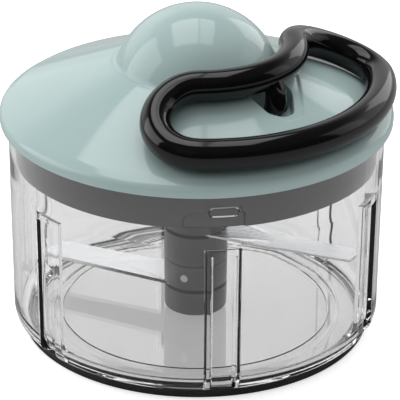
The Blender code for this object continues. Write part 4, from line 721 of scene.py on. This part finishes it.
under_top = smooth((groove_top - plug_height) / (0.5 * MM) + 0.5)
on_face = (plug_radius > 75.0 * MM) & (plug_height < 95 * MM)
draw = GROOVE_DEPTH * inside_left * inside_right * under_top * on_face
plug_grid = turned(plug_radius - draw, plug_height, plug_azimuths)
plug = skin("lid_plug_moulding", plug_grid, ring=True, crease=35)
plug.data.materials.append(grey)
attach(plug, "lid")
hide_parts("lid_plug")

# Pull handle
# A closed loop of glossy black ABS, thicker outside than beside the dome, that lies on the crown.
# Its stem drops from the inner bar into the pocket and holds the cord's knot under a small plug.
HANDLE_TURN = 48.0
HALF_SPAN = 47.0
LOOP_INNER = 40.0 * MM
LOOP_LEFT = 74.8 * MM
LOOP_RIGHT = 76.9 * MM
OUTER_BAR = 6.5 * MM
INNER_BAR = 6.2 * MM
INNER_LIFT = 0.6 * MM
HANDLE_GAP = 0.3 * MM


def arc_points(turn, radius):
    """Plan points (x, y) at azimuths in degrees and radii in metres."""
    angle = np.radians(turn)
    return np.stack([radius * np.sin(angle), -radius * np.cos(angle)], axis=-1)


def loop_path():
    """Plan of the loop and, at each point, the share of the inner bar: an outer arc, a round lobe,
    an inner arc and the other lobe, each round the lid's axis or the lobe's centre."""
    spread = np.linspace(-1, 1, 70, endpoint=False)
    share = np.linspace(0, 1, 44, endpoint=False)
    middle, growth = (LOOP_LEFT + LOOP_RIGHT) / 2, (LOOP_RIGHT - LOOP_LEFT) / 2
    outer = arc_points(HANDLE_TURN + HALF_SPAN * spread, middle + growth * spread)
    inner = arc_points(HANDLE_TURN - HALF_SPAN * spread, np.full_like(spread, LOOP_INNER))
    right, left = HANDLE_TURN + HALF_SPAN, HANDLE_TURN - HALF_SPAN
    right_lobe = arc_points(right, (LOOP_RIGHT + LOOP_INNER) / 2) + arc_points(
        right + 180 * share, (LOOP_RIGHT - LOOP_INNER) / 2
    )
    left_lobe = arc_points(left, (LOOP_LEFT + LOOP_INNER) / 2) + arc_points(
        left - 180 + 180 * share, (LOOP_LEFT - LOOP_INNER) / 2
    )
    inward = (1 - np.cos(np.pi * share)) / 2
    shares = [0 * spread, inward, 0 * spread + 1, 1 - inward]
    return np.vstack([outer, right_lobe, inner, left_lobe]), np.concatenate(shares)


plan, inner_share = loop_path()
bar = OUTER_BAR + (INNER_BAR - OUTER_BAR) * inner_share
slant = math.cos(math.atan(crown_slope))
lift = (bar + HANDLE_GAP) / slant + INNER_LIFT * inner_share
spine = np.column_stack([plan, crown(np.hypot(plan[:, 0], plan[:, 1])) + lift])
for _ in range(6):
    spine = (np.roll(spine, 1, axis=0) + 2 * spine + np.roll(spine, -1, axis=0)) / 4
along = np.roll(spine, -1, axis=0) - np.roll(spine, 1, axis=0)
along /= np.linalg.norm(along, axis=1)[:, None]
sideways = np.cross(along, (0, 0, 1))
sideways /= np.linalg.norm(sideways, axis=1)[:, None]
upright = np.cross(sideways, along)
turn = np.linspace(0, 2 * np.pi, 36, endpoint=False)[None, :, None]
across = np.cos(turn) * sideways[:, None, :] + np.sin(turn) * upright[:, None, :]
loop = spine[:, None, :] + bar[:, None, None] * across
handle = skin("pull_handle_loop", loop, ring=True)
black = plastic("glossy black ABS", "#0c0c0d", 0.10, grain=0.03, grain_size=0.003, depth=0.00001)
handle.data.materials.append(black)
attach(handle, "handle")
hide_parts("pull_handle")



def tube(name, path, radii, sides=10):
    """A round bar along a path. Each ring takes its start from the one before, so it has no twist."""
    along = np.gradient(path, axis=0)
    along /= np.linalg.norm(along, axis=1)[:, None]
    turn = np.linspace(0, 2 * np.pi, sides, endpoint=False)[:, None]
    side = np.cross(along[0], (0.3, 0.2, 1.0))
    rows = []
    for point, way, radius in zip(path, along, np.broadcast_to(radii, len(path))):
        side = side - way * (side @ way)
        side = side / np.linalg.norm(side)
        rows.append(point + radius * (np.cos(turn) * side + np.sin(turn) * np.cross(way, side)))
    return skin(name, np.stack(rows), first_pole=True, last_pole=True)


STEM_LEVELS = np.array((109.7, 109.9, 110.6, 113.0, 115.5, 118.0, 120.5, 123.0)) * MM
STEM_OUT = np.array((44.6, 44.6, 44.6, 44.6, 44.5, 44.0, 42.8, 41.2)) * MM
STEM_RADII = np.array((4.1, 4.7, 4.9, 4.6, 4.3, 4.1, 4.0, 3.9)) * MM
levels = np.linspace(STEM_LEVELS[0], STEM_LEVELS[-1], 60)
stem_plan = arc_points(np.full_like(levels, POCKET_TURN), np.interp(levels, STEM_LEVELS, STEM_OUT))
stem_path = np.column_stack([stem_plan, levels])
stem = tube("handle_stem", stem_path, np.interp(levels, STEM_LEVELS, STEM_RADII), sides=40)
stem.data.materials.append(black)
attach(stem, "handle")

# Inner works
# The parts inside the lid keep their solids and take their finishes here: acetal for the reel,
# wheel, post and shaft, zinc plate for the pawls, pins, screws and spring cover, and blued steel
# for the spring and the clip. The plug over the cord's knot is black like the handle.
acetal = plastic("white moulded acetal", "#e4e2dc", 0.34, grain=0.2)
zinc = steel("zinc plated steel", "#b9bab6", 0.36, scale=1500.0)
blued = steel("blued spring steel", "#5a5f6b", 0.30, scale=1800.0)
braid = plastic("braided polyester cord", "#d6d5d0", 0.85, grain=1.0, grain_size=0.0006, depth=0.0002)
finishes = {
    "reel_post": acetal, "cord_reel": acetal, "drive_shaft": acetal, "ratchet_wheel": acetal,
    "reel_screw": zinc, "spring_cover": zinc, "pawl_1": zinc, "pawl_2": zinc,
    "pawl_pin_1": zinc, "pawl_pin_2": zinc,
    "lid_screw_1": zinc, "lid_screw_2": zinc, "lid_screw_3": zinc, "lid_screw_4": zinc,
    "power_spring": blued, "shaft_clip": blued,
    "knot_cap": black,
}
for node, material in finishes.items():
    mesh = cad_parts[node].data
    mesh.materials.clear()
    mesh.materials.append(material)

# Cord
# One braided polyester cord, 2 mm thick: wound on the reel, led out of the winding and up through
# the guide, and drawn from there to its knot in the handle's stem.
CORD_RADIUS = 1.0 * MM
CORD_OUT = 44.5 * MM
WINDING_TURNS = 10.5
LAYER_TURNS = 3.0
WINDING_IN, WINDING_GROWTH = 25.4 * MM, 4.5 * MM
WINDING_FOOT, WINDING_HEIGHT = 97.6 * MM, 5.2 * MM
turns = np.linspace(0, WINDING_TURNS, 500)
in_layer = np.abs((turns / LAYER_TURNS) % 2 - 1)
winding_plan = arc_points(2.0 + 360 * turns, WINDING_IN + WINDING_GROWTH * turns / WINDING_TURNS)
winding_path = np.column_stack([winding_plan, WINDING_FOOT + WINDING_HEIGHT * in_layer])

LEAD_START = np.append(arc_points(2.0, 32.3 * MM), 99.8 * MM)
LEAD_END = np.append(arc_points(POCKET_TURN, CORD_OUT), 108.5 * MM)
LEAD_SHARES = np.array((
    (0.0, 0.0, 0.0), (0.288, 0.21, 0.0), (0.579, 0.5, 0.011), (0.812, 0.714, 0.057),
    (0.942, 0.857, 0.216), (0.99, 0.929, 0.455), (1.0, 1.0, 0.727), (1.0, 1.0, 1.0),
))
at = np.linspace(0, len(LEAD_SHARES) - 1, 80)
shares = np.stack([np.interp(at, np.arange(len(LEAD_SHARES)), column) for column in LEAD_SHARES.T], axis=1)
for _ in range(12):
    shares[1:-1] = (shares[:-2] + 2 * shares[1:-1] + shares[2:]) / 4
lead_path = LEAD_START + (LEAD_END - LEAD_START) * shares

KNOT_SIZE = 0.42 * MM
KNOT_CORD_RADIUS = 0.55 * MM
loops = np.linspace(0, 2 * np.pi * 0.97, 90)
knot_path = KNOT_SIZE * np.stack([
    np.sin(loops) + 2 * np.sin(2 * loops), np.cos(loops) - 2 * np.cos(2 * loops), -1.6 * np.sin(3 * loops),
], axis=1)
knot_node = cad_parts["cord_knot"]
knot_corners = [Vector(corner) for corner in knot_node.bound_box]
knot_path = knot_path + np.array(knot_node.matrix_world @ (sum(knot_corners, Vector()) / len(knot_corners)))
for name, node, body, path, radius in (
    ("cord_winding_turns", "cord_winding", "reel", winding_path, CORD_RADIUS),
    ("cord_lead_braid", "cord_lead", "lid", lead_path, CORD_RADIUS),
    ("cord_knot_tied", "cord_knot", "handle", knot_path, KNOT_CORD_RADIUS),
):
    cord = tube(name, path, radius)
    cord.data.materials.append(braid)
    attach(cord, body)
    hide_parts(node)

CORD_FOOT, CORD_HEAD = 108.9 * MM, 114.6 * MM
cord_place = np.append(arc_points(POCKET_TURN, CORD_OUT), 0)
cord_levels = np.linspace(CORD_FOOT, CORD_HEAD, 60)[:, None]
cord_sides = np.linspace(0, 360, 16, endpoint=False)[None, :]
cord_grid = turned(np.full_like(cord_levels, CORD_RADIUS), cord_levels, cord_sides)
pull = skin("pull_cord_braid", cord_grid + cord_place, first_pole=True, last_pole=True)
pull.data.materials.append(braid)
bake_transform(pull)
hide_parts("pull_cord")
